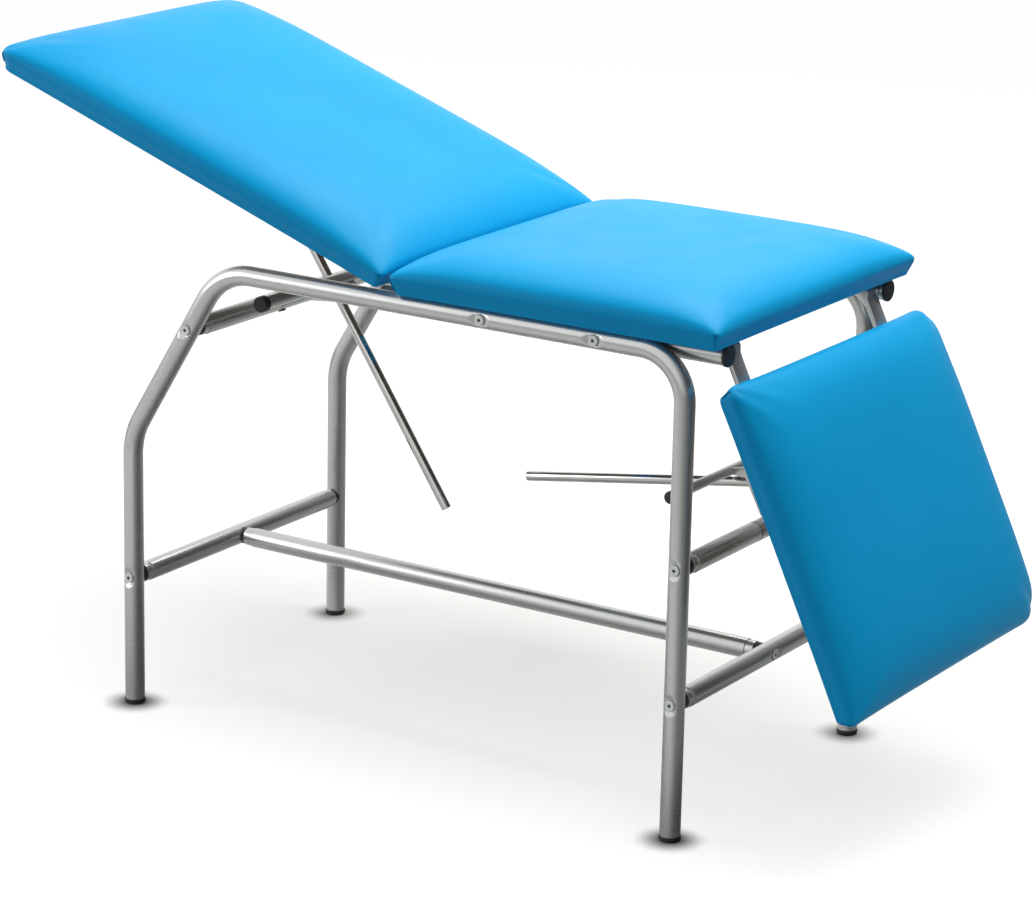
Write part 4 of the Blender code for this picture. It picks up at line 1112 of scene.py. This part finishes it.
def padShape(own, settings):
    edge, bunch, tuck = settings["edge"], settings["bunch"], settings["tuck"]
    board, recess = settings["board"], settings["recess"]
    countL = round(2 * own["half"] / settings["cells"])
    countW = round(2 * settings["halfWidth"] / settings["cells"])
    long, wide = own["round"]

    def spread(i, count):
        t = 2.0 * i / count - 1.0
        return (1 - bunch) * t + bunch * math.sin(t * math.pi / 2)

    def spot(i, j, inset):
        return padOutline(spread(i, countL), spread(j, countW), own, inset, settings)

    bm = bmesh.new()
    held = bm.verts.layers.int.new("held")
    grid = []
    for i in range(countL + 1):
        row = []
        a = spread(i, countL)
        for j in range(countW + 1):
            b = spread(j, countW)
            rise = math.sqrt(max(0.0, 1 - abs(a) ** long) * max(0.0, 1 - abs(b) ** wide))
            row.append(bm.verts.new((*spot(i, j, 0.0), edge + own["crown"] * rise)))
        grid.append(row)
    for i in range(countL):
        for j in range(countW):
            bm.faces.new((grid[i][j], grid[i + 1][j], grid[i + 1][j + 1], grid[i][j + 1]))
    rim = [(i, 0) for i in range(countL)] + [(countL, j) for j in range(countW)]
    rim += [(i, countW) for i in range(countL, 0, -1)] + [(0, j) for j in range(countW, 0, -1)]
    ring = [grid[i][j] for i, j in rim]
    steps = [(inset, edge * share) for inset, share in settings["flanks"]]
    steps += [(tuck, 0.0015), (tuck + 0.002, 0.0), (board - 0.006, 0.0), (board, 0.0), (board, recess)]
    for inset, z in steps:
        below = []
        for i, j in rim:
            v = bm.verts.new((*spot(i, j, inset), z))
            v[held] = 1 if z < 0.002 or inset >= board else 0
            below.append(v)
        bridge(bm, ring, below)
        ring = below
    floor = dict(zip(rim, ring))
    for i in range(countL + 1):
        for j in range(countW + 1):
            if (i, j) not in floor:
                floor[(i, j)] = bm.verts.new((*spot(i, j, board), recess))
                floor[(i, j)][held] = 1
    for i in range(countL):
        for j in range(countW):
            bm.faces.new((floor[(i, j)], floor[(i, j + 1)], floor[(i + 1, j + 1)], floor[(i + 1, j)]))
    bmesh.ops.recalc_face_normals(bm, faces=bm.faces)
    bmesh.ops.transform(bm, matrix=own["place"], verts=bm.verts)
    return bm


def fillPad(piece, cap):
    # swells the cover a little and lets it settle, each point within the cap
    group = piece.vertex_groups.new(name="held")
    flags = piece.data.attributes["held"].data
    group.add([v.index for v in piece.data.vertices if flags[v.index].value], 1.0, "REPLACE")
    cloth = piece.modifiers.new("fill", "CLOTH")
    for trait, value in clothSettings.items():
        setattr(cloth.settings, trait, value)
    cloth.settings.effector_weights.gravity = 0.0
    cloth.collision_settings.use_collision = False
    cloth.collision_settings.use_self_collision = False
    cloth.point_cache.frame_start = 1
    cloth.point_cache.frame_end = clothSteps
    for step in range(1, clothSteps + 1):
        scene.frame_set(step)
    settled = piece.evaluated_get(bpy.context.evaluated_depsgraph_get()).data
    moves = [settled.vertices[v.index].co - v.co for v in piece.data.vertices]
    piece.modifiers.remove(cloth)
    scene.frame_set(1)
    most = 0.0
    for v, move in zip(piece.data.vertices, moves):
        most = max(most, move.length)
        if move.length > cap:
            move *= cap / move.length
        v.co += move
    print(piece.name, "moved at most", round(most * 1000, 1), "mm")


# Corner pleats: the cover folded over at each end of the pad, and beside the fold a dark strip of painted
# shade for the crease
pleatSettings = {
    "wrap": 0.0035, "reach": 0.017, "thick": 0.0019, "sunk": 0.0007, "columns": 12, "rows": 10,
    "crease": (0.0030, 0.0052), "creaseProud": 0.0005, "smooth": 50.0,
}


def makePleats(label, mesh, own, settings, fold):
    tree = BVHTree.FromPolygons([v.co for v in mesh.vertices], [p.vertices for p in mesh.polygons])
    half, side, edge = own["half"], settings["halfWidth"], settings["edge"]
    columns, rows = fold["columns"], fold["rows"]
    span = fold["wrap"] + fold["reach"]
    bm, shade = bmesh.new(), bmesh.new()

    def onCover(x, y, z):
        return tree.find_nearest(own["place"] @ Vector((x, y, z)))[:2]

    for sx, sy in ((-1, -1), (-1, 1), (1, -1), (1, 1)):
        grid = []
        for i in range(columns + 2):
            step = min(max(i - 1, 0), columns) / columns
            s = -fold["wrap"] + span * step
            row = []
            for j in range(rows + 1):
                t = j / rows
                spot, normal = onCover(
                    sx * (half + min(s, 0.0)), sy * (side - max(s, 0.0)), edge * (0.98 - 0.96 * t))
                lift = fold["thick"] * (1 - step) ** 0.8 * min(1.0, t / 0.3)
                sink = i == 0 or i > columns or j in (0, rows)
                row.append(bm.verts.new(spot + normal * (-fold["sunk"] if sink else lift)))
            grid.append(row)
        for a, b in zip(grid, grid[1:]):
            for j in range(rows):
                quad = (a[j], b[j], b[j + 1], a[j + 1])
                bm.faces.new(quad if sx * sy < 0 else quad[::-1])
        # painted shade: a thin dark strip in the crease beside the fold
        grid = []
        for across, proud in ((0, -1), (0, 1), (1, 1), (1, -1)):
            row = []
            for j in range(rows + 1):
                spot, normal = onCover(
                    sx * (half - fold["crease"][across]), sy * side, edge * (0.98 - 0.92 * j / rows))
                row.append(shade.verts.new(spot + normal * proud * fold["creaseProud"]))
            grid.append(row)
        for a, b in zip(grid, grid[1:] + grid[:1]):
            bridge(shade, a, b, closed=False)
        shade.faces.new([row[0] for row in grid])
        shade.faces.new([row[-1] for row in grid][::-1])
    settle(f"{label}Pleats", bm, "blueVinyl", (), own["body"], fold["smooth"])
    settle(f"{label}CreaseShades", shade, "creaseShadeVinyl", (), own["body"], fold["smooth"])


# Staples through the cover into the board, seen from below
stapleSettings = {
    "inset": 0.0215, "spacing": 0.046, "skip": (0.180, 0.305), "squeeze": 0.97, "lean": 0.12, "proud": 0.0002,
}


def makeStapleTree(sizes):
    tree, given = newTree("coverStaples", sizes)
    size = addNode(tree, "ShaderNodeCombineXYZ", {
        "X": given["Wire"], "Y": given["Crown"], "Z": given["Wire"]})
    wire = addNode(tree, "GeometryNodeMeshCube", {"Size": size.outputs[0]})
    return setOut(tree, given, wire.outputs["Mesh"], True)


stapleTree = makeStapleTree({"Crown": 0.010, "Wire": 0.0011})


def makeStaples(label, own, settings, staple):
    place, turn = own["place"], own["place"].to_3x3()
    down = turn @ Vector((0, 0, -1))
    hl, hw = own["half"] - staple["inset"], settings["halfWidth"] - staple["inset"]
    low, high = staple["skip"]
    spots = []
    for axis, run, other, wave in ((0, hl, hw, 2.3), (1, hw, hl, 1.7)):
        if axis == 0 and label == "seat":
            continue  # the seat's long sides rest on the rails
        count = round(2 * run / staple["spacing"])
        for k in range(count):
            at = run * (2 * (k + 0.5) / count - 1) * staple["squeeze"]
            if axis == 1 and low < abs(at) < high:
                continue
            for sign in (-1, 1):
                spot, lean = Vector((0.0, 0.0, -staple["proud"])), Vector((0.0, 0.0, 0.0))
                spot[axis], spot[1 - axis] = at, sign * other
                lean[axis], lean[1 - axis] = 1.0, staple["lean"] * math.sin(k * wave + sign)
                spots.append((place @ spot, down, turn @ lean))
    growPiece(f"{label}Staples", stapleTree, spots, "zincScrew", (), own["body"])


def makePad(label, settings):
    own = settings["shapes"][label]
    cover = padShape(own, settings)
    piece = settle(f"{label}Cushion", cover, "blueVinyl", [f"{label}_pad"], own["body"], settings["smooth"])
    fillPad(piece, settings["cap"])
    finer = piece.modifiers.new("finer", "SUBSURF")
    finer.levels = 1
    finer.render_levels = 1
    smooth = bpy.data.meshes.new_from_object(piece.evaluated_get(bpy.context.evaluated_depsgraph_get()))
    piece.modifiers.remove(finer)
    old = piece.data
    piece.data = smooth
    bpy.data.meshes.remove(old)
    smooth.name = piece.name
    makePleats(label, smooth, own, settings, pleatSettings)
    makeStaples(label, own, settings, stapleSettings)


for padLabel in ("back", "seat", "leg"):
    makePad(padLabel, padSettings)
for boardLabel in ("back_board", "seat_board", "leg_board"):
    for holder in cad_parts[boardLabel].material_slots:
        holder.material = finishes["plyBoard"]
print("pads made")


scene.view_settings.view_transform = "Standard"
